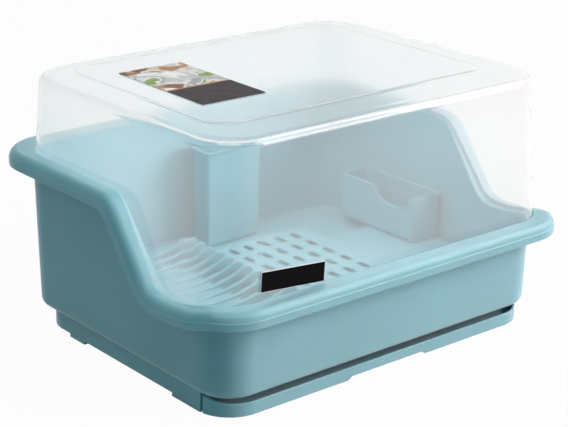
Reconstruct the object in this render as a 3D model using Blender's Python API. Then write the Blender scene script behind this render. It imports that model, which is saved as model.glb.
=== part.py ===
"""A covered dish drainer: a tub with a high back, a drip tray, a plate rack, two holders and a clear lid.

X runs along the long front, Y from front to back and Z up. The origin is under the middle of the tub,
on the surface that it stands on. Lengths are in metres and angles in degrees.
"""

import math
from collections import namedtuple

import bmesh
import bpy

# The rim, seen from above and from the end.
RIM_LENGTH = 0.520
RIM_DEPTH = 0.4228
RIM_CORNER = 0.062
BACK_TOP = 0.208
VALLEY_TOP = 0.1205
FRONT_TOP = 0.129
SLOPE_TOP_SHARE = 0.4508
SLOPE_FOOT_SHARE = 0.29315
CREST_RADIUS = 0.038
VALLEY_RADIUS = 0.030
FRONT_RISE_INSET = 0.029

# The section of the rim.
ROLL_WIDTH = 0.011
ROLL_DROP = 0.0085
LIP_STEP = 0.0008
LIP_HEIGHT = 0.0174
LIP_THICKNESS = 0.0025
RIM_SKIN = 0.0028
SEAT_DEPTH = 0.004
SEAT_EDGE = 0.0006
SEAT_CLEARANCE = 0.0008

# The tub's wall at the foot and below the rim at the back, as insets from the rim's outer edge.
WALL = 0.003
FOOT_INSET_X = 0.028
FOOT_INSET_Y = 0.0294
FOOT_CORNER = 0.040
FOOT_HEIGHT = 0.0315
FOOT_ROUND = 0.010
HEAD_INSET = 0.0235
HEAD_CORNER = 0.048
HEAD_DROP = 0.018
DRAIN_RADIUS = 0.012
DRAIN_FROM_FRONT = 0.060

# The skirt that carries the tub, open at the front for the drip tray.
SKIRT_INSET_X = 0.0328
SKIRT_INSET_BACK = 0.0514
SKIRT_INSET_FRONT = 0.0719
SKIRT_CORNER = 0.040
SKIRT_WALL = 0.003
SKIRT_LIFT = 0.004
SKIRT_BITE = 0.0023
STAND_WIDTH = 0.005
STAND_HEIGHT = 0.010
FRONT_STAND_LENGTH = 0.0485
BACK_STAND_INSET = 0.057
BACK_STAND_LENGTH = 0.029

# The clear lid at the shoulder and at its lower edge in front, as insets from the rim's outer edge.
LID_WALL = 0.002
LID_TOP = 0.2952
LID_CROWN = 0.0067
LID_HEAD_INSET_X = 0.0273
LID_HEAD_INSET_Y = 0.0302
LID_HEAD_CORNER = 0.054
LID_FOOT_INSET_X = 0.0185
LID_FOOT_INSET_Y = 0.0244
LID_FOOT_CORNER = 0.050
LID_FOOT_RISE = 0.001
LID_ROUND = 0.0045
LID_BAND = 0.017
LID_BAND_RISE = 0.0008
PANEL_INSET_X = 0.0437
PANEL_INSET_FRONT = 0.0602
PANEL_INSET_BACK = 0.0312
PANEL_CORNER = 0.024
PANEL_STEP = 0.001
PANEL_STEP_WIDTH = 0.002

# The paper label on the lid and the black plate on its front.
LABEL_LENGTH = 0.083
LABEL_DEPTH = 0.156
LABEL_INSET_LEFT = 0.0307
LABEL_INSET_FRONT = 0.065
LABEL_TURN = -1.0
LABEL_CORNER = 0.001
LABEL_THICKNESS = 0.0005
PLATE_LENGTH = 0.084
PLATE_HEIGHT = 0.0215
PLATE_THICKNESS = 0.0008
PLATE_CORNER = 0.001
PLATE_INSET_LEFT = 0.0527
PLATE_RISE = 0.0155
PLATE_TILT = 5.0

# The drip tray, which slides out at the front.
TRAY_OVERHANG = 0.0023
TRAY_REACH = 0.0380
TRAY_FRONT_CORNER = 0.043
TRAY_SEAM = 0.0025
TRAY_BACK_ROOM = 0.010
TRAY_BACK_CORNER = 0.030
TRAY_WALL = 0.0025
TRAY_HEIGHT = 0.0158
TRAY_SIDE_HEIGHT = 0.0205
TRAY_FLOOR_TOP = 0.006
TRAY_UNDERSIDE = 0.004
TRAY_RECESS_LEFT = -0.0578
TRAY_RECESS_RIGHT = 0.058
TRAY_RECESS_SLANT = 0.006
TRAY_FOOT_BAND = 0.012

# The plate rack: a raised floor with drain slots, and ribs with gaps between them on the left.
RACK_CLEARANCE = 0.0025
RACK_CORNER = 0.035
RACK_TOP = 0.046
RACK_SHEET = 0.0025
RACK_EDGE_WIDTH = 0.003
RACK_EDGE_HEIGHT = 0.003
LEG_SIZE = 0.012
LEG_BITE = 0.0015
LEG_INSET_X = 0.037
LEG_INSET_Y = 0.032
DECK_TOP = 0.056
DECK_LEFT = -0.022
DECK_MARGIN = 0.005
DECK_INSET_FRONT = 0.055
DECK_INSET_BACK = 0.071
DECK_NOTCH_X = 0.115
DECK_NOTCH_DEPTH = 0.048
DECK_CORNER = 0.007
DECK_BITE = 0.001
SLOT_COLUMNS = 5
SLOT_ROWS = 7
SLOT_PITCH_X = 0.0235
SLOT_INSET_LEFT = 0.017
SLOT_INSET_FRONT = 0.022
SLOT_INSET_BACK = 0.020
SLOT_BRIDGE = 0.011
SLOT_WIDTH = 0.008
RIB_COUNT = 17
RIB_INSET_FRONT = 0.0154
RIB_INSET_BACK = 0.0314
RIB_LEFT = -0.118
RIB_LENGTH = 0.097
RIB_HEIGHT = 0.0165
RIB_THICKNESS = 0.0045
OPENING_LEFT = -0.0745
OPENING_LENGTH = 0.0445
OPENING_MARGIN = 0.0011
RIB_SHARES = (
    (0.0, 0.0),
    (0.0, 0.08),
    (0.45, 0.28),
    (0.66, 0.52),
    (0.77, 0.73),
    (0.85, 0.96),
    (0.89, 1.0),
    (0.94, 0.96),
    (1.0, 0.74),
    (1.0, 0.0),
)

# The tall cutlery box at the back.
CUTLERY_LEFT = -0.0115
CUTLERY_LENGTH = 0.0915
CUTLERY_DEPTH = 0.0405
CUTLERY_TOP = 0.1665
CUTLERY_CORNER = 0.006
CUTLERY_DRAIN_LENGTH = 0.022
CUTLERY_DRAIN_WIDTH = 0.005
CUTLERY_DRAIN_COUNT = 4
CUTLERY_DRAIN_PITCH = 0.018

# The low utensil box on the right.
UTENSIL_LENGTH = 0.0465
UTENSIL_REACH = 0.0835
UTENSIL_DEPTH = 0.133
UTENSIL_TOP = 0.1135
UTENSIL_CORNER = 0.006
UTENSIL_DRAIN_LENGTH = 0.020
UTENSIL_DRAIN_WIDTH = 0.006
UTENSIL_DRAIN_COUNT = 5
UTENSIL_DRAIN_PITCH = 0.022
SCOOP_WIDTH = 0.065
SCOOP_DEPTH = 0.018
SCOOP_FROM_FRONT = 0.0065

# What both boxes share.
BOX_WALL = 0.002
BOX_BEAD = 0.0012
BOX_BEAD_HEIGHT = 0.004
BOX_ROUND = 0.0045
BOX_ROOM = 0.003

# Clearance between pieces that rest on each other, and how far a cutter runs past what it cuts.
GAP = 0.0003
OVERRUN = 0.005

# Segments on curves.
CORNER_STEPS = 6
CREST_STEPS = 4
VALLEY_STEPS = 3
ROUND_STEPS = 3
SMALL_CORNER_STEPS = 3

# Colours, linear.
TEAL = (0.27, 0.50, 0.56)
CLEAR = (0.90, 0.94, 0.95)
LABEL_BROWN = (0.10, 0.085, 0.075)
PLATE_BLACK = (0.012, 0.012, 0.013)

Outline = namedtuple("Outline", "half_length half_depth radius")
Station = namedtuple("Station", "side_x side_y y angle top lean_y lean_z")


def clear_scene():
    for old in list(bpy.data.objects):
        bpy.data.objects.remove(old)


def plastic(name, colour, roughness, alpha=1.0):
    made = bpy.data.materials.new(name)
    made.use_nodes = True
    shader = made.node_tree.nodes["Principled BSDF"]
    shader.inputs["Base Color"].default_value = (*colour, 1.0)
    shader.inputs["Roughness"].default_value = roughness
    shader.inputs["Metallic"].default_value = 0.0
    shader.inputs["Alpha"].default_value = alpha
    made.diffuse_color = (*colour, alpha)
    return made


def finished(name, bm, origin, material=None):
    """An object with its origin at the given point, from a bmesh in world coordinates."""
    bmesh.ops.recalc_face_normals(bm, faces=bm.faces)
    bmesh.ops.translate(bm, verts=bm.verts, vec=[-value for value in origin])
    mesh = bpy.data.meshes.new(name)
    bm.to_mesh(mesh)
    bm.free()
    made = bpy.data.objects.new(name, mesh)
    made.location = origin
    bpy.context.scene.collection.objects.link(made)
    if material:
        mesh.materials.append(material)
        mesh.shade_smooth()
        mesh.set_sharp_from_angle(angle=math.radians(30.0))
    return made


def helper(name, bm):
    made = finished(name, bm, (0.0, 0.0, 0.0))
    made.hide_render = True
    made.display_type = "WIRE"
    return made


def combine(target, other, operation):
    change = target.modifiers.new(other.name, "BOOLEAN")
    change.operation = operation
    change.solver = "EXACT"
    change.object = other


def keep_place(child, parent):
    """Parents the child and leaves it where it is."""
    child.location = [own - above for own, above in zip(child.location, parent.location)]
    child.parent = parent


def loft(bm, rings):
    """Skins closed rings of points and closes the first and the last with a face."""
    rows = [[bm.verts.new(point) for point in ring] for ring in rings]
    count = len(rows[0])
    for low, high in zip(rows, rows[1:]):
        for here in range(count):
            after = (here + 1) % count
            bm.faces.new((low[here], low[after], high[after], high[here]))
    bm.faces.new(rows[0][::-1])
    bm.faces.new(rows[-1])


def prism(bm, outline, low, high):
    loft(bm, [[(x, y, low) for x, y in outline], [(x, y, high) for x, y in outline]])


def box(bm, low, high):
    corners = [(low[0], low[1]), (high[0], low[1]), (high[0], high[1]), (low[0], high[1])]
    prism(bm, corners, low[2], high[2])


def rounded(low, high, radius, steps):
    """A rectangle with round corners, seen from above, anticlockwise from the right end of its front."""
    centres = (
        (high[0] - radius, low[1] + radius, -90.0),
        (high[0] - radius, high[1] - radius, 0.0),
        (low[0] + radius, high[1] - radius, 90.0),
        (low[0] + radius, low[1] + radius, 180.0),
    )
    points = []
    for x, y, start in centres:
        for step in range(steps + 1):
            angle = math.radians(start + 90.0 * step / steps)
            points.append((x + radius * math.cos(angle), y + radius * math.sin(angle)))
    return points


def oval(x, y, across, along):
    """A slot with round ends, of the given sizes along X and along Y."""
    half = (across / 2, along / 2)
    return rounded((x - half[0], y - half[1]), (x + half[0], y + half[1]), min(half), SMALL_CORNER_STEPS)


def mixed(low, high, share):
    return low + (high - low) * share


def softened(points, radius):
    """A polygon with square corners, each replaced by a curve."""
    soft = []
    for index, corner in enumerate(points):
        ends = []
        for other in (points[index - 1], points[(index + 1) % len(points)]):
            share = radius / math.dist(corner, other)
            ends.append([mixed(a, b, share) for a, b in zip(corner, other)])
        for step in range(SMALL_CORNER_STEPS + 1):
            share = step / SMALL_CORNER_STEPS
            before = [mixed(a, b, share) for a, b in zip(ends[0], corner)]
            after = [mixed(a, b, share) for a, b in zip(corner, ends[1])]
            soft.append(tuple(mixed(a, b, share) for a, b in zip(before, after)))
    return soft


def outline_between(low, high, low_z, high_z, z):
    share = (z - low_z) / (high_z - low_z)
    return Outline(*(mixed(a, b, share) for a, b in zip(low, high)))


def inside_rim(inset_x, inset_y, radius):
    return Outline(RIM_LENGTH / 2 - inset_x, RIM_DEPTH / 2 - inset_y, radius)


def tub_outline(z):
    """The outer face of the tub's wall at a height."""
    foot = inside_rim(FOOT_INSET_X, FOOT_INSET_Y, FOOT_CORNER)
    head = inside_rim(HEAD_INSET, HEAD_INSET, HEAD_CORNER)
    return outline_between(foot, head, FOOT_HEIGHT, BACK_TOP - HEAD_DROP, z)


def lid_shoulder():
    """The height at which the lid's wall turns into its top."""
    return LID_TOP - LID_CROWN


def lid_outline(z):
    """The outer face of the lid's wall at a height."""
    foot = inside_rim(LID_FOOT_INSET_X, LID_FOOT_INSET_Y, LID_FOOT_CORNER)
    head = inside_rim(LID_HEAD_INSET_X, LID_HEAD_INSET_Y, LID_HEAD_CORNER)
    return outline_between(foot, head, FRONT_TOP + LID_FOOT_RISE, lid_shoulder(), z)


def straight_limit():
    """How far from the middle the end walls are straight in every outline."""
    head = lid_outline(lid_shoulder())
    return head.half_depth - head.radius


def grown(outline, by):
    return Outline(outline.half_length + by, outline.half_depth + by, outline.radius + by)


def rim_outline(inset):
    return grown(Outline(RIM_LENGTH / 2, RIM_DEPTH / 2, RIM_CORNER), -inset)


def rim_curve():
    """How the rim's line on the end walls turns: its slope, and the centres and ends of its two arcs."""
    crest_corner = RIM_DEPTH * SLOPE_TOP_SHARE - RIM_DEPTH / 2
    valley_corner = RIM_DEPTH * SLOPE_FOOT_SHARE - RIM_DEPTH / 2
    slope = math.atan2(BACK_TOP - VALLEY_TOP, crest_corner - valley_corner)
    crest_reach = CREST_RADIUS * math.tan(slope / 2)
    valley_reach = VALLEY_RADIUS * math.tan(slope / 2)
    return {
        "slope": slope,
        "crest_y": crest_corner + crest_reach,
        "crest_z": BACK_TOP - CREST_RADIUS,
        "crest_end": crest_corner - crest_reach * math.cos(slope),
        "valley_y": valley_corner - valley_reach,
        "valley_z": VALLEY_TOP + VALLEY_RADIUS,
        "valley_start": valley_corner + valley_reach * math.cos(slope),
    }


def rim_top(y):
    """The height of the rim's line and its slope at a place between front and back."""
    turn = rim_curve()
    if y >= turn["crest_y"]:
        return BACK_TOP, 0.0
    if y >= turn["crest_end"]:
        ahead = turn["crest_y"] - y
        rise = math.sqrt(CREST_RADIUS**2 - ahead**2)
        return turn["crest_z"] + rise, ahead / rise
    if y >= turn["valley_start"]:
        slope = math.tan(turn["slope"])
        foot = turn["valley_z"] - VALLEY_RADIUS * math.cos(turn["slope"])
        return foot + slope * (y - turn["valley_start"]), slope
    if y >= turn["valley_y"]:
        behind = y - turn["valley_y"]
        drop = math.sqrt(VALLEY_RADIUS**2 - behind**2)
        return turn["valley_z"] - drop, behind / drop
    run = turn["valley_y"] + RIM_DEPTH / 2 - FRONT_RISE_INSET
    share = min(1.0, (turn["valley_y"] - y) / run)
    rise = FRONT_TOP - VALLEY_TOP
    return VALLEY_TOP + rise * share**2, -2 * rise * share / run * (share < 1.0)


def end_places():
    """Where the end walls have their stations, from front to back."""
    turn = rim_curve()
    limit = straight_limit()
    places = [-limit]
    slope = turn["slope"]
    for step in range(VALLEY_STEPS + 1):
        places.append(turn["valley_y"] + VALLEY_RADIUS * math.sin(slope * step / VALLEY_STEPS))
    for step in range(CREST_STEPS + 1):
        places.append(turn["crest_y"] - CREST_RADIUS * math.sin(slope * (1 - step / CREST_STEPS)))
    places.append(limit)
    return places


def end_station(side, y):
    top, slope = rim_top(y)
    length = math.hypot(1.0, slope)
    return Station(side, 0, y, 0.0, top, -slope / length, 1.0 / length)


def corner_stations(side_x, side_y, angles):
    made = []
    for angle in angles:
        straight = RIM_DEPTH / 2 - RIM_CORNER
        y = side_y * (straight + RIM_CORNER * math.sin(angle))
        made.append(Station(side_x, side_y, 0.0, angle, rim_top(y)[0], 0.0, 1.0))
    return made


def stations():
    """Every place round the rim, anticlockwise from the middle of the right end wall's front corner."""
    outward = [math.radians(90.0 * step / CORNER_STEPS) for step in range(CORNER_STEPS + 1)]
    inward = outward[::-1]
    places = end_places()
    made = corner_stations(1, -1, inward)
    made += [end_station(1, y) for y in places]
    made += corner_stations(1, 1, outward)
    made += corner_stations(-1, 1, inward)
    made += [end_station(-1, y) for y in places[::-1]]
    made += corner_stations(-1, -1, outward)
    return made


def station_point(station, outline, z, shift_y=0.0):
    if not station.side_y:
        return (station.side_x * outline.half_length, station.y + shift_y, z)
    x = outline.half_length - outline.radius * (1.0 - math.cos(station.angle))
    y = outline.half_depth - outline.radius * (1.0 - math.sin(station.angle))
    return (station.side_x * x, station.side_y * y, z)


def flat_ring(places, outline, z):
    return [station_point(station, outline, z) for station in places]


def rim_ring(places, outline_at, rise):
    """A ring at a distance from the rim's line, square to it. outline_at gives its outline at a height."""
    ring = []
    for station in places:
        z = station.top + rise * station.lean_z
        ring.append(station_point(station, outline_at(z), z, rise * station.lean_y))
    return ring


def quarter(steps):
    """The sine and cosine along a quarter circle."""
    turns = [math.radians(90.0 * step / steps) for step in range(steps + 1)]
    return [(math.sin(turn), math.cos(turn)) for turn in turns]


def seat_outline(z):
    """The outer edge of the seat that holds the lid."""
    return grown(lid_outline(z), SEAT_CLEARANCE)


def tub_shell():
    places = stations()
    foot = tub_outline(FOOT_HEIGHT)
    rings = []
    for sine, cosine in quarter(ROUND_STEPS):
        outline = grown(foot, -FOOT_ROUND * (1.0 - sine))
        rings.append(flat_ring(places, outline, FOOT_HEIGHT - FOOT_ROUND * cosine))
    under_seat = -(SEAT_DEPTH + RIM_SKIN)
    rings.append(rim_ring(places, tub_outline, under_seat))
    rings.append(rim_ring(places, lambda z: grown(seat_outline(z), RIM_SKIN / 2), under_seat))
    rings.append(rim_ring(places, lambda z: grown(seat_outline(z), RIM_SKIN), -RIM_SKIN))
    inner_roll = ROLL_WIDTH - LIP_STEP - LIP_THICKNESS
    for sine, cosine in quarter(ROUND_STEPS - 1):
        outline = rim_outline(ROLL_WIDTH - inner_roll * sine)
        rise = -RIM_SKIN - ROLL_DROP * (1.0 - cosine)
        rings.append(rim_ring(places, lambda z, outline=outline: outline, rise))
    rings.append(rim_ring(places, lambda z: rim_outline(LIP_THICKNESS), -LIP_HEIGHT))
    rings.append(rim_ring(places, lambda z: rim_outline(0.0), -LIP_HEIGHT))
    rings.append(rim_ring(places, lambda z: rim_outline(0.0), -ROLL_DROP - LIP_STEP))
    for sine, cosine in quarter(ROUND_STEPS)[::-1]:
        outline = rim_outline(ROLL_WIDTH - (ROLL_WIDTH - LIP_STEP) * sine)
        rise = -ROLL_DROP * (1.0 - cosine)
        rings.append(rim_ring(places, lambda z, outline=outline: outline, rise))
    rings.append(rim_ring(places, lambda z: grown(seat_outline(z), SEAT_EDGE), 0.0))
    rings.append(rim_ring(places, seat_outline, -SEAT_EDGE))
    rings.append(rim_ring(places, seat_outline, -SEAT_DEPTH))
    rings.append(rim_ring(places, lambda z: grown(tub_outline(z), -WALL), -SEAT_DEPTH))
    inner_foot = grown(foot, -WALL)
    inner_round = FOOT_ROUND - WALL
    for sine, cosine in quarter(ROUND_STEPS)[::-1]:
        outline = grown(inner_foot, -inner_round * (1.0 - sine))
        rings.append(flat_ring(places, outline, FOOT_HEIGHT - inner_round * cosine))
    bm = bmesh.new()
    loft(bm, rings)
    return bm


def skirt_reach():
    """Half the skirt's length, its front and its back."""
    front = SKIRT_INSET_FRONT - RIM_DEPTH / 2
    return RIM_LENGTH / 2 - SKIRT_INSET_X, front, RIM_DEPTH / 2 - SKIRT_INSET_BACK


def skirt_outline(inset):
    """The skirt's face, from its front end on the right round the back to its front end on the left."""
    reach, front, back = skirt_reach()
    half = reach - inset
    radius = SKIRT_CORNER - inset
    back -= inset
    points = [(half, front)]
    for side, start in ((1, 0.0), (-1, 90.0)):
        for step in range(CORNER_STEPS + 1):
            angle = math.radians(start + 90.0 * step / CORNER_STEPS)
            x = side * (half - radius) + radius * math.cos(angle)
            points.append((x, back - radius + radius * math.sin(angle)))
    points.append((-half, front))
    return points


def skirt():
    bm = bmesh.new()
    outline = skirt_outline(0.0) + skirt_outline(SKIRT_WALL)[::-1]
    top = FOOT_HEIGHT - FOOT_ROUND + SKIRT_BITE
    prism(bm, outline, SKIRT_LIFT, top)
    return helper("skirt_shape", bm)


def stands():
    """The four feet under the skirt."""
    bm = bmesh.new()
    outer, skirt_front, skirt_back = skirt_reach()
    back_stand = skirt_back - BACK_STAND_INSET - BACK_STAND_LENGTH
    for front, length in ((skirt_front, FRONT_STAND_LENGTH), (back_stand, BACK_STAND_LENGTH)):
        for left in (-outer, outer - STAND_WIDTH):
            box(bm, (left, front, 0.0), (left + STAND_WIDTH, front + length, STAND_HEIGHT))
    return helper("stands_shape", bm)


def drain():
    bm = bmesh.new()
    y = DRAIN_FROM_FRONT - tub_outline(FOOT_HEIGHT).half_depth
    low, high = (-DRAIN_RADIUS, y - DRAIN_RADIUS), (DRAIN_RADIUS, y + DRAIN_RADIUS)
    outline = rounded(low, high, DRAIN_RADIUS, ROUND_STEPS)
    prism(bm, outline, FOOT_HEIGHT - FOOT_ROUND - OVERRUN, FOOT_HEIGHT)
    return helper("drain_shape", bm)


def make_tub(material):
    tub = finished("tub", tub_shell(), (0.0, 0.0, 0.0), material)
    combine(tub, skirt(), "UNION")
    combine(tub, stands(), "UNION")
    combine(tub, drain(), "DIFFERENCE")
    return tub


def panel_reach():
    """Half the length of the lid's raised panel, its front and its back. It lies nearer the back."""
    head = lid_outline(lid_shoulder())
    half_length = head.half_length - PANEL_INSET_X
    return half_length, PANEL_INSET_FRONT - head.half_depth, head.half_depth - PANEL_INSET_BACK


def panel_ring(places, grow, z):
    half_length, front, back = panel_reach()
    outline = grown(Outline(half_length, (back - front) / 2, PANEL_CORNER), grow)
    ring = []
    for station in places:
        x, y, _ = station_point(station, outline, z)
        if not station.side_y:
            y = station.y * (outline.half_depth - outline.radius) / straight_limit()
        ring.append((x, y + (front + back) / 2, z))
    return ring


def lid_shell():
    places = stations()
    head = lid_outline(lid_shoulder())
    round_top = lid_shoulder() + LID_ROUND
    foot_rise = GAP - SEAT_DEPTH
    band = grown(head, -LID_BAND)
    rings = [panel_ring(places, 0.0, LID_TOP)]
    rings.append(panel_ring(places, PANEL_STEP_WIDTH, LID_TOP - PANEL_STEP))
    rings.append(flat_ring(places, band, round_top + LID_BAND_RISE))
    for sine, cosine in quarter(ROUND_STEPS):
        outline = grown(head, -LID_ROUND * (1.0 - sine))
        rings.append(flat_ring(places, outline, round_top - LID_ROUND * (1.0 - cosine)))
    rings.append(rim_ring(places, lid_outline, foot_rise))
    rings.append(rim_ring(places, lambda z: grown(lid_outline(z), -LID_WALL), foot_rise))
    inner_round = LID_ROUND - LID_WALL
    inner_top = round_top - LID_WALL
    for sine, cosine in quarter(ROUND_STEPS)[::-1]:
        outline = grown(head, -LID_WALL - inner_round * (1.0 - sine))
        rings.append(flat_ring(places, outline, inner_top - inner_round * (1.0 - cosine)))
    rings.append(flat_ring(places, band, inner_top + LID_BAND_RISE))
    rings.append(panel_ring(places, PANEL_STEP_WIDTH, LID_TOP - PANEL_STEP - LID_WALL))
    rings.append(panel_ring(places, 0.0, LID_TOP - LID_WALL))
    bm = bmesh.new()
    loft(bm, rings)
    return bm


def make_lid(material):
    return finished("lid", lid_shell(), (0.0, 0.0, BACK_TOP), material)


def make_label(material):
    bm = bmesh.new()
    half = (LABEL_LENGTH / 2, LABEL_DEPTH / 2)
    outline = rounded((-half[0], -half[1]), half, LABEL_CORNER, SMALL_CORNER_STEPS)
    prism(bm, outline, 0.0, LABEL_THICKNESS)
    made = finished("lid_label", bm, (0.0, 0.0, 0.0), material)
    panel_half, panel_front, _ = panel_reach()
    x = LABEL_INSET_LEFT + half[0] - panel_half
    made.location = (x, panel_front + LABEL_INSET_FRONT + half[1], LID_TOP + GAP)
    made.rotation_euler = (0.0, 0.0, math.radians(LABEL_TURN))
    return made


def make_plate(material):
    """The plate lies flat on the lid's front wall, which leans back, and hangs a little askew."""
    bm = bmesh.new()
    half = (PLATE_LENGTH / 2, PLATE_HEIGHT / 2)
    outline = rounded((-half[0], -half[1]), half, PLATE_CORNER, SMALL_CORNER_STEPS)
    rings = []
    for y in (-GAP - PLATE_THICKNESS, -GAP):
        rings.append([(x, y, z) for x, z in outline])
    loft(bm, rings)
    made = finished("front_plate", bm, (0.0, 0.0, 0.0), material)
    z = FRONT_TOP + PLATE_RISE
    wall = lid_outline(z)
    lean = math.atan2(wall.half_depth - lid_outline(lid_shoulder()).half_depth, lid_shoulder() - z)
    made.location = (PLATE_INSET_LEFT + half[0] - wall.half_length, -wall.half_depth, z)
    made.rotation_mode = "YXZ"
    made.rotation_euler = (-lean, math.radians(PLATE_TILT), 0.0)
    return made


def tray_body_half():
    """Half the width of the tray behind its front, between the tub's feet."""
    return skirt_reach()[0] - STAND_WIDTH - GAP


def tray_back():
    return skirt_reach()[2] - TRAY_BACK_ROOM


def tray_shoulder():
    """Where the tray's wide front ends, just before the tub's skirt."""
    return skirt_reach()[1] - TRAY_SEAM


def tray_front():
    return skirt_reach()[1] - TRAY_REACH


def tray_outline(inset):
    """The tray's face: wide with round corners at the front, then narrower between the tub's feet."""
    front_half = skirt_reach()[0] + TRAY_OVERHANG - inset
    body_half = tray_body_half() - inset
    front_radius = TRAY_FRONT_CORNER - inset
    back_radius = TRAY_BACK_CORNER - inset
    front = tray_front() + inset
    back = tray_back() - inset
    shoulder = tray_shoulder() - inset
    right = []
    last = math.asin((front + front_radius - shoulder) / front_radius)
    for step in range(CORNER_STEPS + 1):
        turn = mixed(math.radians(90.0), last, step / CORNER_STEPS)
        x = front_half - front_radius * (1.0 - math.cos(turn))
        right.append((x, front + front_radius * (1.0 - math.sin(turn))))
    right.append((body_half, shoulder))
    for sine, cosine in quarter(SMALL_CORNER_STEPS):
        x = body_half - back_radius * (1.0 - cosine)
        right.append((x, back - back_radius * (1.0 - sine)))
    return right + [(-x, y) for x, y in right[::-1]]


def tray_wall_top(y):
    """The height of the tray's wall: low along the front, higher beside the tub's front corners."""
    run = tray_shoulder() - tray_front()
    share = min(1.0, max(0.0, (y - tray_front()) / run))
    if y > skirt_reach()[1]:
        return TRAY_HEIGHT
    return mixed(TRAY_HEIGHT, TRAY_SIDE_HEIGHT, share**2)


def tray_shell():
    outer = tray_outline(0.0)
    inner = tray_outline(TRAY_WALL)
    tops = [tray_wall_top(y) for _, y in outer]
    bm = bmesh.new()
    loft(
        bm,
        [
            [(x, y, 0.0) for x, y in outer],
            [(x, y, z) for (x, y), z in zip(outer, tops)],
            [(x, y, z) for (x, y), z in zip(inner, tops)],
            [(x, y, TRAY_FLOOR_TOP) for x, y in inner],
        ],
    )
    return bm


def tray_recess():
    """The channel under the tray from front to back, with slanted sides."""
    bm = bmesh.new()
    depth = TRAY_UNDERSIDE + OVERRUN
    spread = TRAY_RECESS_SLANT * depth / TRAY_UNDERSIDE - TRAY_RECESS_SLANT
    profile = (
        (TRAY_RECESS_LEFT - spread, -OVERRUN),
        (TRAY_RECESS_RIGHT + spread, -OVERRUN),
        (TRAY_RECESS_RIGHT - TRAY_RECESS_SLANT, TRAY_UNDERSIDE),
        (TRAY_RECESS_LEFT + TRAY_RECESS_SLANT, TRAY_UNDERSIDE),
    )
    rings = []
    for y in (tray_front() - OVERRUN, tray_back() + OVERRUN):
        rings.append([(x, y, z) for x, z in profile])
    loft(bm, rings)
    return helper("tray_recess_shape", bm)


def tray_pockets():
    """The hollows under the tray, left and right of the channel, which leave a band to stand on."""
    bm = bmesh.new()
    side = tray_body_half() - TRAY_FOOT_BAND
    front = tray_shoulder()
    back = tray_back() - TRAY_FOOT_BAND
    left = (TRAY_RECESS_LEFT - TRAY_FOOT_BAND, TRAY_RECESS_RIGHT + TRAY_FOOT_BAND)
    box(bm, (-side, front, -OVERRUN), (left[0], back, TRAY_UNDERSIDE))
    box(bm, (left[1], front, -OVERRUN), (side, back, TRAY_UNDERSIDE))
    return helper("tray_pockets_shape", bm)


def make_tray(material):
    tray = finished("drip_tray", tray_shell(), (0.0, tray_front(), 0.0), material)
    combine(tray, tray_recess(), "DIFFERENCE")
    combine(tray, tray_pockets(), "DIFFERENCE")
    return tray


def rack_reach():
    """Half the rack's length and depth, inside the tub's wall at the rack's underside."""
    wall = tub_outline(RACK_TOP - RACK_SHEET)
    inset = WALL + RACK_CLEARANCE
    return wall.half_length - inset, wall.half_depth - inset


def rack_ring(inset, z):
    reach_x, reach_y = (reach - inset for reach in rack_reach())
    outline = rounded((-reach_x, -reach_y), (reach_x, reach_y), RACK_CORNER - inset, CORNER_STEPS)
    return [(x, y, z) for x, y in outline]


def deck_span():
    """The front and the back of the rack's raised floor, and the front of the notch at its back right."""
    reach = rack_reach()[1]
    back = reach - DECK_INSET_BACK
    return DECK_INSET_FRONT - reach, back, back - DECK_NOTCH_DEPTH


def deck_outline(inset):
    left, right = DECK_LEFT + inset, rack_reach()[0] - DECK_MARGIN - inset
    front, back, notch_y = deck_span()
    front += inset
    back -= inset
    notch_x, notch_y = DECK_NOTCH_X - inset, notch_y - inset
    square = [(left, front), (right, front), (right, notch_y)]
    square += [(notch_x, notch_y), (notch_x, back), (left, back)]
    return softened(square, DECK_CORNER - inset)


def deck():
    bm = bmesh.new()
    prism(bm, deck_outline(0.0), RACK_TOP - DECK_BITE, DECK_TOP)
    return helper("deck_shape", bm)


def deck_hollow():
    bm = bmesh.new()
    prism(bm, deck_outline(RACK_SHEET), RACK_TOP - RACK_SHEET - OVERRUN, DECK_TOP - RACK_SHEET)
    return helper("deck_hollow_shape", bm)


def legs():
    """The rack's legs down to the tub's floor: one at each corner and one half way along three sides."""
    bm = bmesh.new()
    reach_x, reach_y = rack_reach()
    x, y = reach_x - LEG_INSET_X, reach_y - LEG_INSET_Y
    floor = FOOT_HEIGHT - FOOT_ROUND + WALL + GAP
    half = LEG_SIZE / 2
    for leg_x, leg_y in ((-x, -y), (0.0, -y), (x, -y), (-x, 0.0), (-x, y), (0.0, y), (x, y)):
        low = (leg_x - half, leg_y - half, floor)
        high = (leg_x + half, leg_y + half, RACK_TOP - RACK_SHEET + LEG_BITE)
        box(bm, low, high)
    return helper("legs_shape", bm)


def spread(first, last, count):
    """Evenly spaced places, and the step between them."""
    step = (last - first) / (count - 1)
    return [first + step * number for number in range(count)], abs(step)


def rib_places():
    reach = rack_reach()[1]
    return spread(reach - RIB_INSET_BACK, RIB_INSET_FRONT - reach, RIB_COUNT)


def ribs():
    """Arched ribs along X, between which the plates stand."""
    bm = bmesh.new()
    base = RACK_TOP - DECK_BITE
    profile = [(RIB_LEFT + RIB_LENGTH * along, RACK_TOP + RIB_HEIGHT * up) for along, up in RIB_SHARES]
    profile[0] = (profile[0][0], base)
    profile[-1] = (profile[-1][0], base)
    for place in rib_places()[0]:
        rings = []
        for y in (place - RIB_THICKNESS / 2, place + RIB_THICKNESS / 2):
            rings.append([(x, y, z) for x, z in profile])
        loft(bm, rings)
    return helper("ribs_shape", bm)


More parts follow.
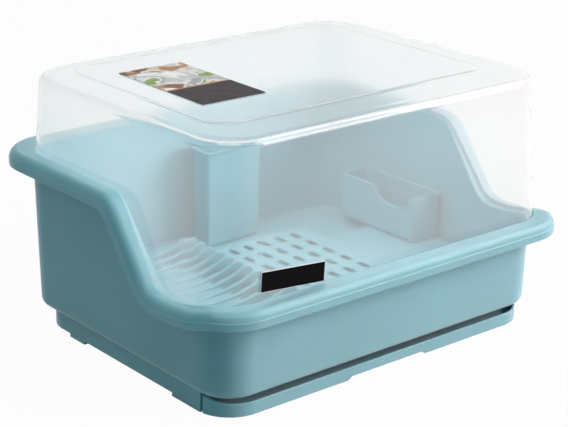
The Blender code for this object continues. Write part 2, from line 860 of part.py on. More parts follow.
def rack_gaps():
    """The long gaps between the ribs and the drain slots in the raised floor."""
    bm = bmesh.new()
    middle = OPENING_LEFT + OPENING_LENGTH / 2
    places, pitch = rib_places()
    width = pitch - RIB_THICKNESS - 2 * OPENING_MARGIN
    cut = (RACK_TOP - RACK_SHEET - OVERRUN, DECK_TOP + OVERRUN)
    for before, after in zip(places, places[1:]):
        prism(bm, oval(middle, (before + after) / 2, OPENING_LENGTH, width), *cut)
    front, back, _ = deck_span()
    rows, row_pitch = spread(front + SLOT_INSET_FRONT, back - SLOT_INSET_BACK, SLOT_ROWS)
    for column in range(SLOT_COLUMNS):
        x = DECK_LEFT + SLOT_INSET_LEFT + column * SLOT_PITCH_X
        for y in rows:
            prism(bm, oval(x, y, SLOT_WIDTH, row_pitch - SLOT_BRIDGE), *cut)
    return helper("rack_gaps_shape", bm)


def make_rack(material):
    bottom = RACK_TOP - RACK_SHEET
    edge = RACK_TOP + RACK_EDGE_HEIGHT
    bm = bmesh.new()
    rings = [rack_ring(0.0, bottom), rack_ring(0.0, edge)]
    rings += [rack_ring(RACK_EDGE_WIDTH, edge), rack_ring(RACK_EDGE_WIDTH, RACK_TOP)]
    loft(bm, rings)
    rack = finished("plate_rack", bm, (0.0, 0.0, bottom), material)
    combine(rack, deck(), "UNION")
    combine(rack, deck_hollow(), "DIFFERENCE")
    combine(rack, legs(), "UNION")
    combine(rack, ribs(), "UNION")
    combine(rack, rack_gaps(), "DIFFERENCE")
    return rack


def open_box(low, high, corner):
    """A box with round upright corners, open at the top, with a bead round its mouth."""
    bottom, top = low[2], high[2]
    bead = top - BOX_BEAD_HEIGHT
    inner = BOX_BEAD + BOX_WALL

    def ring(inset, z):
        lower = (low[0] + inset, low[1] + inset)
        upper = (high[0] - inset, high[1] - inset)
        return [(x, y, z) for x, y in rounded(lower, upper, corner - inset, SMALL_CORNER_STEPS)]

    bm = bmesh.new()
    rings = []
    for sine, cosine in quarter(ROUND_STEPS):
        rings.append(ring(BOX_BEAD + BOX_ROUND * (1.0 - sine), bottom + BOX_ROUND * (1.0 - cosine)))
    rings += [ring(BOX_BEAD, bead), ring(0.0, bead + BOX_BEAD), ring(0.0, top)]
    rings += [ring(inner, top), ring(inner, bottom + BOX_WALL)]
    loft(bm, rings)
    return bm


def box_drains(name, middle, bottom, count, pitch_x, pitch_y, across, along):
    bm = bmesh.new()
    for number in range(count):
        step = number - (count - 1) / 2
        outline = oval(middle[0] + step * pitch_x, middle[1] + step * pitch_y, across, along)
        prism(bm, outline, bottom - OVERRUN, bottom + BOX_WALL + OVERRUN)
    return helper(name, bm)


def make_cutlery_box(material):
    back = rack_reach()[1] - RACK_EDGE_WIDTH - GAP + BOX_BEAD
    low = (CUTLERY_LEFT, back - CUTLERY_DEPTH, RACK_TOP + GAP)
    high = (CUTLERY_LEFT + CUTLERY_LENGTH, back, CUTLERY_TOP)
    middle = ((low[0] + high[0]) / 2, (low[1] + high[1]) / 2)
    made = finished("cutlery_box", open_box(low, high, CUTLERY_CORNER), (*middle, low[2]), material)
    drains = box_drains(
        "cutlery_drain_shape",
        middle,
        low[2],
        CUTLERY_DRAIN_COUNT,
        CUTLERY_DRAIN_PITCH,
        0.0,
        CUTLERY_DRAIN_WIDTH,
        CUTLERY_DRAIN_LENGTH,
    )
    combine(made, drains, "DIFFERENCE")
    return made


def scoop(low, high):
    """The dip in the top edge of the utensil box, on the side that faces the plates."""
    bm = bmesh.new()
    front = low[1] + SCOOP_FROM_FRONT
    profile = []
    for step in range(2 * CORNER_STEPS + 1):
        turn = math.radians(180.0 * step / (2 * CORNER_STEPS))
        y = front + SCOOP_WIDTH / 2 * (1.0 - math.cos(turn))
        profile.append((y, high[2] - SCOOP_DEPTH * math.sin(turn)))
    profile.append((front + SCOOP_WIDTH, high[2] + OVERRUN))
    profile.append((front, high[2] + OVERRUN))
    rings = []
    for x in (low[0] - OVERRUN, low[0] + BOX_BEAD + BOX_WALL + OVERRUN):
        rings.append([(x, y, z) for y, z in profile])
    loft(bm, rings)
    return helper("scoop_shape", bm)


def make_utensil_box(material):
    right = tub_outline(DECK_TOP).half_length - WALL - BOX_ROOM
    front = deck_span()[2] - UTENSIL_REACH
    low = (right - UTENSIL_LENGTH, front, DECK_TOP + GAP)
    high = (right, front + UTENSIL_DEPTH, UTENSIL_TOP)
    middle = ((low[0] + high[0]) / 2, (low[1] + high[1]) / 2)
    made = finished("utensil_box", open_box(low, high, UTENSIL_CORNER), (*middle, low[2]), material)
    drains = box_drains(
        "utensil_drain_shape",
        middle,
        low[2],
        UTENSIL_DRAIN_COUNT,
        0.0,
        UTENSIL_DRAIN_PITCH,
        UTENSIL_DRAIN_LENGTH,
        UTENSIL_DRAIN_WIDTH,
    )
    combine(made, drains, "DIFFERENCE")
    combine(made, scoop(low, high), "DIFFERENCE")
    return made


def main():
    clear_scene()
    teal = plastic("teal_plastic", TEAL, 0.35)
    clear = plastic("clear_plastic", CLEAR, 0.08, 0.35)
    paper = plastic("label_paper", LABEL_BROWN, 0.45)
    black = plastic("black_plate", PLATE_BLACK, 0.35)
    make_tub(teal)
    make_tray(teal)
    rack = make_rack(teal)
    for holder in (make_cutlery_box(teal), make_utensil_box(teal)):
        keep_place(holder, rack)
    lid = make_lid(clear)
    for trim in (make_label(paper), make_plate(black)):
        keep_place(trim, lid)


main()
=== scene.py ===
"""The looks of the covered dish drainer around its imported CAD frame.

X runs along the long front, Y from front to back and Z up. Lengths are in metres, angles in degrees.
"""

import math
from collections import namedtuple

import bmesh
import bpy
from mathutils import Matrix, Vector


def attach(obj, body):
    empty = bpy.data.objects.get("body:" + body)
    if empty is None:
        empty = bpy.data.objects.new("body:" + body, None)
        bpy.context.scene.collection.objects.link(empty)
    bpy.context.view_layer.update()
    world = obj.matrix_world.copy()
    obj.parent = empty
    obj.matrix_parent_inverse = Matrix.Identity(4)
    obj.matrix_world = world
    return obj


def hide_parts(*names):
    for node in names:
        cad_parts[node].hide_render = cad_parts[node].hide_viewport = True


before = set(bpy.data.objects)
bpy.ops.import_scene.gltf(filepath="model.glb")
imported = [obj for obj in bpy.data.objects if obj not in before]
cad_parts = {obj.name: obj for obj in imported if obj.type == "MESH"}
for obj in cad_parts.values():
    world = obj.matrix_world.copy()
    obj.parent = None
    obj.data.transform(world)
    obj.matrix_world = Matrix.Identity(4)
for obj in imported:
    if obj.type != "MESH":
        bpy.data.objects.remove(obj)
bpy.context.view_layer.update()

# The rim, seen from above and from the end.
RIM_LENGTH = 0.520
RIM_DEPTH = 0.4228
RIM_CORNER = 0.062
BACK_TOP = 0.208
VALLEY_TOP = 0.1205
FRONT_TOP = 0.129
SLOPE_TOP_SHARE = 0.4508
SLOPE_FOOT_SHARE = 0.29315
CREST_RADIUS = 0.038
VALLEY_RADIUS = 0.030
FRONT_RISE_INSET = 0.029

# The section of the rim.
ROLL_WIDTH = 0.011
ROLL_DROP = 0.0085
LIP_STEP = 0.0008
LIP_HEIGHT = 0.0174
LIP_THICKNESS = 0.0025
RIM_SKIN = 0.0028
SEAT_DEPTH = 0.004
SEAT_EDGE = 0.0006
SEAT_CLEARANCE = 0.0008

# The tub's wall at the foot and below the rim at the back. Insets are those of the sides and of front
# and back from the rim's outer edge, and the corners' radius.
WALL = 0.003
FOOT_INSETS = (0.028, 0.0294, 0.040)
FOOT_HEIGHT = 0.0315
FOOT_ROUND = 0.010
HEAD_INSETS = (0.0235, 0.0235, 0.048)
HEAD_DROP = 0.018
DRAIN_RADIUS = 0.012
DRAIN_FROM_FRONT = 0.060

# The skirt that carries the tub, open at the front for the drip tray.
SKIRT_INSET_X = 0.0328
SKIRT_INSET_BACK = 0.0514
SKIRT_INSET_FRONT = 0.0719
SKIRT_CORNER = 0.040
SKIRT_WALL = 0.003
SKIRT_LIFT = 0.004
SKIRT_BITE = 0.0023
STAND_WIDTH = 0.005
STAND_HEIGHT = 0.010
FRONT_STAND_LENGTH = 0.0485
BACK_STAND_INSET = 0.057
BACK_STAND_LENGTH = 0.029

# The clear lid, with the insets of its shoulder and of its lower edge in front.
LID_WALL = 0.002
LID_TOP = 0.2952
LID_CROWN = 0.0102
LID_HEAD_INSETS = (0.0273, 0.0302, 0.054)
LID_FOOT_INSETS = (0.0185, 0.0244, 0.050)
LID_FOOT_RISE = 0.001
LID_ROUND = 0.008
LID_BAND = 0.017
LID_BAND_RISE = 0.0008
PANEL_INSET_X = 0.0437
PANEL_INSET_FRONT = 0.0602
PANEL_INSET_BACK = 0.0312
PANEL_CORNER = 0.024
PANEL_STEP = 0.001
PANEL_STEP_WIDTH = 0.004

# The paper label on the lid and the black plate on its front.
LABEL_LENGTH = 0.083
LABEL_DEPTH = 0.156
LABEL_INSET_LEFT = 0.0307
LABEL_INSET_FRONT = 0.065
LABEL_TURN = -1.0
LABEL_THICKNESS = 0.0005
LABEL_BORDER_SHARE = -0.10
LABEL_DRIFT = 0.05
PLATE_LENGTH = 0.084
PLATE_HEIGHT = 0.0215
PLATE_THICKNESS = 0.0008
PLATE_INSET_LEFT = 0.0527
PLATE_RISE = 0.0155
PLATE_TILT = 5.0
SHEET_CORNER = 0.001
SHEET_EDGE_SHARE = 0.25

# The drip tray, which slides out at the front.
TRAY_OVERHANG = 0.0008
TRAY_REACH = 0.0380
TRAY_FRONT_CORNER = 0.043
TRAY_SEAM = 0.0040
TRAY_BACK_ROOM = 0.010
TRAY_BACK_CORNER = 0.030
TRAY_WALL = 0.0025
TRAY_HEIGHT = 0.0148
TRAY_SIDE_HEIGHT = 0.0205
TRAY_FLOOR_TOP = 0.006
TRAY_UNDERSIDE = 0.004
TRAY_RECESS_LEFT = -0.0578
TRAY_RECESS_RIGHT = 0.058
TRAY_RECESS_SLANT = 0.006
TRAY_FOOT_BAND = 0.012

# The plate rack: a raised floor with drain slots, and ribs with gaps between them on the left.
RACK_CLEARANCE = 0.0025
RACK_CORNER = 0.035
RACK_TOP = 0.046
RACK_SHEET = 0.0025
RACK_EDGE_WIDTH = 0.003
RACK_EDGE_HEIGHT = 0.003
LEG_SIZE = 0.012
LEG_BITE = 0.0015
LEG_INSET_X = 0.037
LEG_INSET_Y = 0.032
DECK_TOP = 0.056
DECK_LEFT = -0.022
DECK_MARGIN = 0.005
DECK_INSET_FRONT = 0.055
DECK_INSET_BACK = 0.071
DECK_NOTCH_X = 0.115
DECK_NOTCH_DEPTH = 0.048
DECK_CORNER = 0.007
SLOT_COLUMNS = 5
SLOT_ROWS = 7
SLOT_PITCH_X = 0.0235
SLOT_INSET_LEFT = 0.017
SLOT_INSET_FRONT = 0.022
SLOT_INSET_BACK = 0.020
SLOT_BRIDGE = 0.011
SLOT_WIDTH = 0.008
RIB_COUNT = 17
RIB_INSET_FRONT = 0.0154
RIB_INSET_BACK = 0.0314
RIB_LEFT = -0.118
RIB_LENGTH = 0.097
RIB_HEIGHT = 0.0165
RIB_THICKNESS = 0.0045
RIB_EDGE = 0.0012
OPENING_LEFT = -0.0745
OPENING_LENGTH = 0.0445
OPENING_MARGIN = 0.0011

# The top line of a rib, as shares of its length and height.
RIB_SHARES = ((0.0, 0.08), (0.45, 0.28), (0.66, 0.52), (0.77, 0.73), (0.85, 0.96), (0.89, 1.0))
RIB_SHARES += ((0.94, 0.96), (1.0, 0.74))

# The tall cutlery box at the back.
CUTLERY_LEFT = -0.0115
CUTLERY_LENGTH = 0.0915
CUTLERY_DEPTH = 0.0405
CUTLERY_TOP = 0.1665

# The low utensil box on the right.
UTENSIL_LENGTH = 0.0465
UTENSIL_REACH = 0.0835
UTENSIL_DEPTH = 0.133
UTENSIL_TOP = 0.1135
SCOOP_WIDTH = 0.065
SCOOP_DEPTH = 0.018
SCOOP_FROM_FRONT = 0.0065
SCOOP_POWERS = (2.6, 0.72)

# What both boxes share.
BOX_WALL = 0.002
BOX_CORNER = 0.006
BOX_BEAD = 0.0012
BOX_BEAD_HEIGHT = 0.004
BOX_ROUND = 0.0045
BOX_ROOM = 0.003

# The drain slots in the boxes' floors: how many, the way from one to the next and the size of each.
CUTLERY_DRAINS = (4, (0.018, 0.0), (0.005, 0.022))
UTENSIL_DRAINS = (5, (0.0, 0.022), (0.020, 0.006))

# The room between loose pieces, how far cutters run past a piece, and when two points are one.
GAP = 0.0003
OVERRUN = 0.005
WELD = 1e-6

# Soft edges, how much of a short side one may take, and the shortest side that counts.
FINE_EDGE = 0.0007
SOFT_EDGE = 0.0015
BROAD_EDGE = 0.003
EDGE_SHARE = 0.46
SHORTEST = 1e-9

# Segments on curves, and the steepest turn that is shaded smooth.
CORNER_STEPS = 14
CREST_STEPS = 14
VALLEY_STEPS = 12
RISE_STEPS = 4
ROUND_STEPS = 6
SMALL_CORNER_STEPS = 6
EDGE_STEPS = 3
BEVEL_STEPS = 2
SMOOTH_ANGLE = 32.0

# Colours, linear, and how much milkier the lid is where it is seen edge on.
TEAL = (0.175, 0.375, 0.435)
TEAL_SHADES = (0.965, 1.03)
LID_HAZE = (0.81, 0.82, 0.82)
LID_CLEAR = (0.985, 0.99, 0.99)
LID_PASS = (0.92, 0.93, 0.93)
LID_EDGE_MILK = 0.20
LID_EDGE_POWER = 4.0
LABEL_DARK = (0.026, 0.020, 0.022)
LABEL_GREY = (0.30, 0.32, 0.34)
LABEL_WHITE = (0.72, 0.73, 0.72)
LABEL_GREEN = (0.20, 0.30, 0.09)
LABEL_TAN = (0.42, 0.24, 0.13)
LABEL_BROWN = (0.12, 0.075, 0.05)
PLATE_BLACK = (0.004, 0.004, 0.005)
PLATE_EDGE = (0.70, 0.73, 0.75)
WHITE = (1.0, 1.0, 1.0)

# What varies over a surface: the scale and detail of a noise, and the two values that it runs between.
NOISE_SPAN = (0.3, 0.7)
TEAL_MOTTLE = (11.0, 4.0, 0.0, 1.0)
TEAL_ROUGHNESS = (70.0, 3.0, 0.30, 0.37)
LID_ROUGHNESS = (26.0, 3.0, 0.048, 0.062)
LID_MILK = (7.0, 3.0, 0.140, 0.165)
LABEL_SHADE = (150.0, 4.0, 0.85, 1.25)
LABEL_ROUGHNESS = (90.0, 3.0, 0.30, 0.40)
PLATE_ROUGHNESS = (120.0, 3.0, 0.14, 0.22)

# Relief: the scale and detail of a noise, and the strength and distance of its bump.
TEAL_FLOW = (16.0, 1.0, 0.12, 0.002)
TEAL_GRAIN = (1400.0, 2.0, 0.012, 0.0001)
LID_FLOW = (9.0, 1.0, 0.03, 0.001)
LID_RIPPLE = (30.0, 1.0, 0.01, 0.0003)
LABEL_FIBRE = (1600.0, 3.0, 0.15, 0.0001)
PLATE_GRAIN = (1500.0, 2.0, 0.08, 0.0001)

# What is the same all over a surface, by the name of the shader's socket.
TEAL_SURFACE = {
    "IOR": 1.49,
    "Specular IOR Level": 0.20,
    "Sheen Weight": 0.18,
    "Sheen Roughness": 0.5,
    "Subsurface Weight": 0.7,
    "Subsurface Radius": (0.3, 0.9, 0.9),
    "Subsurface Scale": 0.006,
}
LID_IOR = 1.45
LABEL_SURFACE = {"IOR": 1.45, "Specular IOR Level": 0.03}
PLATE_SURFACE = {"IOR": 1.45, "Specular IOR Level": 0.02}

# The label's picture: the colours along its ramp, its patches, and the strip and the line at its border.
LABEL_RAMP = ((0.12, LABEL_BROWN), (0.28, LABEL_TAN), (0.42, LABEL_WHITE))
LABEL_RAMP += ((0.62, LABEL_GREY), (0.74, LABEL_WHITE), (0.88, LABEL_GREEN))
LABEL_WANDER = {"Scale": 22.0, "Detail": 2.0}
LABEL_PATCHES = {"Scale": 50.0, "Smoothness": 0.9}
LABEL_STRIP = (0.0026, 0.0030)
LABEL_LINE = (-0.0002, 0.0002)

# Where the plate's pale edge begins and is full, from the side of its face.
PLATE_RIM = (-0.0006, -0.0002)

# The sockets of a mix of two colours that no name tells apart.
MIX_FIRST, MIX_SECOND, MIX_RESULT = 6, 7, 2

# The camera of the photograph. Its turn is its yaw, its pitch downwards and its roll, in radians.
PHOTO_WIDTH = 568
CAMERA_PLACE = (-1.1463, -1.3552, 0.7579)
CAMERA_TURN = (0.7015, 0.3413, 0.0168)
CAMERA_FOCAL_PIXELS = 1649.4
SENSOR = 36.0
CLIP_END = 50.0

# The studio.
FLOOR_SIZE = 14.0
FLOOR_DROP = 0.0004
FLOOR_COLOUR = (0.45, 0.45, 0.45)
FLOOR_GLOW_SHARE = 0.97
AMBIENT = 0.385
COOL = (0.76, 0.97, 1.0)
SKY = (0.35, 0.97, 1.03)
WARM = (1.0, 0.715, 0.675)

# The lamps: place, aim, two sizes, power in watts, colour and the rays that don't see them.
LAMPS = {
    "key": ((2.80, -2.60, 1.90), (0.0, 0.0, 0.12), (2.2, 1.9), 247.0, WARM, "glossy"),
    "front": ((2.60, -3.00, 0.60), (0.0, 0.0, 0.12), (2.0, 1.1), 75.0, WARM, "glossy"),
    "top": ((-0.55, -0.45, 1.85), (0.0, 0.0, 0.1), (1.0, 0.8), 12.0, WARM, ""),
    "back": ((1.52, 1.80, 0.90), (0.0, 0.0, 0.15), (2.0, 1.0), 1.5, WHITE, ""),
    "inner": ((0.0, 0.01, 0.285), (0.0, 0.01, 0.0), (0.40, 0.28), 0.70, COOL, "camera transmission glossy"),
    "card": ((1.30, -0.75, 1.55), (0.0, 0.0, 0.1), (1.9, 1.6), 80.0, WHITE, "camera diffuse transmission"),
}

Outline = namedtuple("Outline", "half_length half_depth radius")
Station = namedtuple("Station", "side_x side_y y angle top lean_y lean_z")
Turns = namedtuple("Turns", "slope crest_y crest_z crest_end valley_y valley_z valley_start")


def mixed(low, high, share):
    return low + (high - low) * share


def quarter_turns(steps):
    return [math.radians(90.0 * step / steps) for step in range(steps + 1)]


def quarter(steps):
    """The sine and cosine along a quarter circle."""
    return [(math.sin(turn), math.cos(turn)) for turn in quarter_turns(steps)]


def spread(first, last, count):
    """Evenly spaced places, and the step between them."""
    step = (last - first) / (count - 1)
    return [first + step * number for number in range(count)], abs(step)


def rounded(low, high, radius, steps=SMALL_CORNER_STEPS):
    """A rectangle with round corners, anticlockwise from the right end of its front."""
    centres = (
        (high[0] - radius, low[1] + radius, -90.0),
        (high[0] - radius, high[1] - radius, 0.0),
        (low[0] + radius, high[1] - radius, 90.0),
        (low[0] + radius, low[1] + radius, 180.0),
    )
    points = []
    for x, y, start in centres:
        for step in range(steps + 1):
            angle = math.radians(start + 90.0 * step / steps)
            points.append((x + radius * math.cos(angle), y + radius * math.sin(angle)))
    return points


def oval(x, y, across, along):
    """A slot with round ends, of the given sizes along X and along Y."""
    half = (across / 2, along / 2)
    return rounded((x - half[0], y - half[1]), (x + half[0], y + half[1]), min(half))


def curve(start, corner, end, steps):
    """The points that take the place of a corner."""
    corner = Vector(corner)
    shares = [step / steps for step in range(steps + 1)]
    return [start.lerp(corner, share).lerp(corner.lerp(end, share), share) for share in shares]


def softened(points, radius):
    """A polygon with each corner replaced by a curve."""
    soft = []
    for index, corner in enumerate(points):
        ends = []
        for other in (points[index - 1], points[(index + 1) % len(points)]):
            ends.append(Vector(corner).lerp(Vector(other), radius / math.dist(corner, other)))
        soft += curve(ends[0], corner, ends[1], SMALL_CORNER_STEPS)
    return soft


def toward(start, end, distance):
    """The point at a distance from start on the way to end, at most just short of half way."""
    start, end = Vector(start), Vector(end)
    length = (end - start).length
    return start.lerp(end, min(EDGE_SHARE, distance / max(length, SHORTEST)))


def eased(rings):
    """Rounds the turns of a loft, given as rings with the size of the soft edge at each."""
    made = []
    for index, (points, size) in enumerate(rings):
        if not size:
            made.append(points)
            continue
        before, after = rings[index - 1][0], rings[(index + 1) % len(rings)][0]
        curves = []
        for previous, corner, following in zip(before, points, after):
            start, end = toward(corner, previous, size), toward(corner, following, size)
            curves.append(curve(start, corner, end, EDGE_STEPS))
        made += zip(*curves)
    return made


def loft(bm, rings, closed=False):
    """Skins closed rings of points. The ends get a face each, or meet each other where closed is set."""
    rows = [[bm.verts.new(point) for point in ring] for ring in rings]
    count = len(rows[0])
    pairs = list(zip(rows, rows[1:]))
    if closed:
        pairs.append((rows[-1], rows[0]))
    for low, high in pairs:
        for here in range(count):
            after = (here + 1) % count
            bm.faces.new((low[here], low[after], high[after], high[here]))
    if not closed:
        bm.faces.new(rows[0][::-1])
        bm.faces.new(rows[-1])
    return bm


def solid(rings):
    """A closed solid from rings with the size of the soft edge at each."""
    return loft(bmesh.new(), eased(rings))


def level(outline, z):
    return [(x, y, z) for x, y in outline]


def prism(bm, outline, low, high):
    return loft(bm, [level(outline, low), level(outline, high)])


def block(bm, low, high):
    corners = [(low[0], low[1]), (high[0], low[1]), (high[0], high[1]), (low[0], high[1])]
    return prism(bm, corners, low[2], high[2])


def placed(name, data):
    made = bpy.data.objects.new(name, data)
    bpy.context.scene.collection.objects.link(made)
    return made


def final_mesh(target):
    """The mesh of an object with its modifiers, or of a curve."""
    return bpy.data.meshes.new_from_object(target.evaluated_get(bpy.context.evaluated_depsgraph_get()))


def piece(name, bm, material=None):
    bmesh.ops.remove_doubles(bm, verts=bm.verts, dist=WELD)
    bmesh.ops.recalc_face_normals(bm, faces=bm.faces)
    mesh = bpy.data.meshes.new(name)
    bm.to_mesh(mesh)
    bm.free()
    made = placed(name, mesh)
    if material:
        mesh.materials.append(material)
    return made


def combined(target, operation, bm):
    """Joins a helper's solid to the piece or cuts it out, and leaves a plain mesh."""
    other = piece(target.name + "_helper", bm)
    change = target.modifiers.new("change", "BOOLEAN")
    change.operation = operation
    change.solver = "EXACT"
    change.object = other
    mesh, old = final_mesh(target), target.data
    target.modifiers.clear()
    target.data = mesh
    bpy.data.meshes.remove(old)
    bpy.data.objects.remove(other)


def smooth(target):
    """Smooth shading that keeps flat faces flat."""
    target.data.shade_smooth()
    target.data.set_sharp_from_angle(angle=math.radians(SMOOTH_ANGLE))
    weighted = target.modifiers.new("normals", "WEIGHTED_NORMAL")
    weighted.keep_sharp = True


def inside_rim(inset_x, inset_y, radius):
    return Outline(RIM_LENGTH / 2 - inset_x, RIM_DEPTH / 2 - inset_y, radius)


def outline_between(foot, head, low_z, high_z, z):
    """The outline of a leaning wall at a height, from its insets at two heights."""
    share = (z - low_z) / (high_z - low_z)
    return Outline(*(mixed(a, b, share) for a, b in zip(inside_rim(*foot), inside_rim(*head))))


def tub_outline(z):
    """The outer face of the tub's wall at a height."""
    return outline_between(FOOT_INSETS, HEAD_INSETS, FOOT_HEIGHT, BACK_TOP - HEAD_DROP, z)


def lid_shoulder():
    """The height at which the lid's wall turns into its top."""
    return LID_TOP - LID_CROWN


def lid_outline(z):
    """The outer face of the lid's wall at a height."""
    foot_z = FRONT_TOP + LID_FOOT_RISE
    return outline_between(LID_FOOT_INSETS, LID_HEAD_INSETS, foot_z, lid_shoulder(), z)


def straight_limit():
    """How far from the middle the end walls are straight in every outline."""
    head = lid_outline(lid_shoulder())
    return head.half_depth - head.radius


def grown(outline, by):
    return Outline(outline.half_length + by, outline.half_depth + by, outline.radius + by)


def rim_outline(_):
    """The rim's outer edge, the same at every height."""
    return inside_rim(0.0, 0.0, RIM_CORNER)


def rim_curve():
    """The slope of the rim's line on the end walls, and the centres and ends of its two arcs."""
    crest_corner = RIM_DEPTH * SLOPE_TOP_SHARE - RIM_DEPTH / 2
    valley_corner = RIM_DEPTH * SLOPE_FOOT_SHARE - RIM_DEPTH / 2
    slope = math.atan2(BACK_TOP - VALLEY_TOP, crest_corner - valley_corner)
    crest_reach = CREST_RADIUS * math.tan(slope / 2)
    valley_reach = VALLEY_RADIUS * math.tan(slope / 2)
    return Turns(
        slope=slope,
        crest_y=crest_corner + crest_reach,
        crest_z=BACK_TOP - CREST_RADIUS,
        crest_end=crest_corner - crest_reach * math.cos(slope),
        valley_y=valley_corner - valley_reach,
        valley_z=VALLEY_TOP + VALLEY_RADIUS,
        valley_start=valley_corner + valley_reach * math.cos(slope),
    )


def rim_top(y):
    """The height of the rim's line and its slope at a place between front and back."""
    turn = rim_curve()
    if y >= turn.crest_y:
        return BACK_TOP, 0.0
    if y >= turn.crest_end:
        ahead = turn.crest_y - y
        rise = math.sqrt(CREST_RADIUS**2 - ahead**2)
        return turn.crest_z + rise, ahead / rise
    if y >= turn.valley_start:
        slope = math.tan(turn.slope)
        foot = turn.valley_z - VALLEY_RADIUS * math.cos(turn.slope)
        return foot + slope * (y - turn.valley_start), slope
    if y >= turn.valley_y:
        behind = y - turn.valley_y
        drop = math.sqrt(VALLEY_RADIUS**2 - behind**2)
        return turn.valley_z - drop, behind / drop
    run = turn.valley_y + RIM_DEPTH / 2 - FRONT_RISE_INSET
    share = min(1.0, (turn.valley_y - y) / run)
    rise = FRONT_TOP - VALLEY_TOP
    return VALLEY_TOP + rise * share**2, -2 * rise * share / run * (share < 1.0)


def end_places():
    """Where the end walls have their stations, from front to back."""
    turn = rim_curve()
    limit = straight_limit()
    places = [mixed(-limit, turn.valley_y, step / RISE_STEPS) for step in range(RISE_STEPS)]
    for step in range(VALLEY_STEPS + 1):
        places.append(turn.valley_y + VALLEY_RADIUS * math.sin(turn.slope * step / VALLEY_STEPS))
    for step in range(CREST_STEPS + 1):
        places.append(turn.crest_y - CREST_RADIUS * math.sin(turn.slope * (1 - step / CREST_STEPS)))
    places.append(limit)
    return places


def end_station(side, y):
    top, slope = rim_top(y)
    length = math.hypot(1.0, slope)
    return Station(side, 0, y, 0.0, top, -slope / length, 1.0 / length)


def corner_stations(side_x, side_y, angles):
    straight = RIM_DEPTH / 2 - RIM_CORNER
    tops = [rim_top(side_y * (straight + RIM_CORNER * math.sin(angle)))[0] for angle in angles]
    return [Station(side_x, side_y, 0.0, angle, top, 0.0, 1.0) for angle, top in zip(angles, tops)]


def stations():
    """Every place round the rim, anticlockwise from the front right corner."""
    outward = quarter_turns(CORNER_STEPS)
    inward = outward[::-1]
    places = end_places()
    made = corner_stations(1, -1, inward)
    made += [end_station(1, y) for y in places]
    made += corner_stations(1, 1, outward)
    made += corner_stations(-1, 1, inward)
    made += [end_station(-1, y) for y in places[::-1]]
    made += corner_stations(-1, -1, outward)
    return made


PLACES = stations()


def station_point(station, outline, z, shift_y=0.0):
    if not station.side_y:
        return (station.side_x * outline.half_length, station.y + shift_y, z)
    x = outline.half_length - outline.radius * (1.0 - math.cos(station.angle))
    y = outline.half_depth - outline.radius * (1.0 - math.sin(station.angle))
    return (station.side_x * x, station.side_y * y, z)


def flat_ring(outline, z):
    return [station_point(station, outline, z) for station in PLACES]


def rim_ring(outline_at, rise, by=0.0):
    """A ring above the rim's line, square to it, of the outline at each height, grown by a distance."""
    ring = []
    for station in PLACES:
        z = station.top + rise * station.lean_z
        ring.append(station_point(station, grown(outline_at(z), by), z, rise * station.lean_y))
    return ring


def seat_outline(z):
    """The outer edge of the seat that holds the lid."""
    return grown(lid_outline(z), SEAT_CLEARANCE)


def rim_roll(width, top):
    """Rings over the rim's roll, from its inner edge outwards."""
    rings = []
    for sine, cosine in quarter(ROUND_STEPS):
        ring = rim_ring(rim_outline, top - ROLL_DROP * (1.0 - cosine), width * sine - ROLL_WIDTH)
        rings.append((ring, 0.0))
    return rings


def foot_round(outline, radius):
    """Rings over the round at the foot of the tub's wall, from its floor upwards."""
    rings = []
    for sine, cosine in quarter(ROUND_STEPS):
        ring = flat_ring(grown(outline, -radius * (1.0 - sine)), FOOT_HEIGHT - radius * cosine)
        rings.append((ring, 0.0))
    return rings


def tub_shell():
    foot = tub_outline(FOOT_HEIGHT)
    under_seat = -(SEAT_DEPTH + RIM_SKIN)
    rings = foot_round(foot, FOOT_ROUND) + [
        (rim_ring(tub_outline, under_seat), SOFT_EDGE),
        (rim_ring(seat_outline, under_seat, RIM_SKIN / 2), SOFT_EDGE),
        (rim_ring(seat_outline, -RIM_SKIN, RIM_SKIN), FINE_EDGE),
    ]
    rings += rim_roll(ROLL_WIDTH - LIP_STEP - LIP_THICKNESS, -RIM_SKIN) + [
        (rim_ring(rim_outline, -LIP_HEIGHT, -LIP_THICKNESS), FINE_EDGE),
        (rim_ring(rim_outline, -LIP_HEIGHT), FINE_EDGE),
        (rim_ring(rim_outline, -ROLL_DROP - LIP_STEP), FINE_EDGE / 2),
    ]
    rings += rim_roll(ROLL_WIDTH - LIP_STEP, 0.0)[::-1] + [
        (rim_ring(seat_outline, 0.0, SEAT_EDGE), SEAT_EDGE),
        (rim_ring(seat_outline, -SEAT_EDGE), SEAT_EDGE),
        (rim_ring(seat_outline, -SEAT_DEPTH), FINE_EDGE),
        (rim_ring(tub_outline, -SEAT_DEPTH, -WALL), SOFT_EDGE),
    ]
    rings += foot_round(grown(foot, -WALL), FOOT_ROUND - WALL)[::-1]
    return solid(rings)


def skirt_reach():
    """Half the skirt's length, its front and its back."""
    front = SKIRT_INSET_FRONT - RIM_DEPTH / 2
    return RIM_LENGTH / 2 - SKIRT_INSET_X, front, RIM_DEPTH / 2 - SKIRT_INSET_BACK


def skirt_outline(inset):
    """The skirt's face, from its front end on the right round the back to its front end on the left."""
    reach, front, back = skirt_reach()
    half = reach - inset
    corners = rounded((-half, front), (half, back - inset), SKIRT_CORNER - inset, CORNER_STEPS)
    count = CORNER_STEPS + 1
    return [(half, front)] + corners[count : 3 * count] + [(-half, front)]


def skirt():
    outline = skirt_outline(0.0) + skirt_outline(SKIRT_WALL)[::-1]
    return prism(bmesh.new(), outline, SKIRT_LIFT, FOOT_HEIGHT - FOOT_ROUND + SKIRT_BITE)


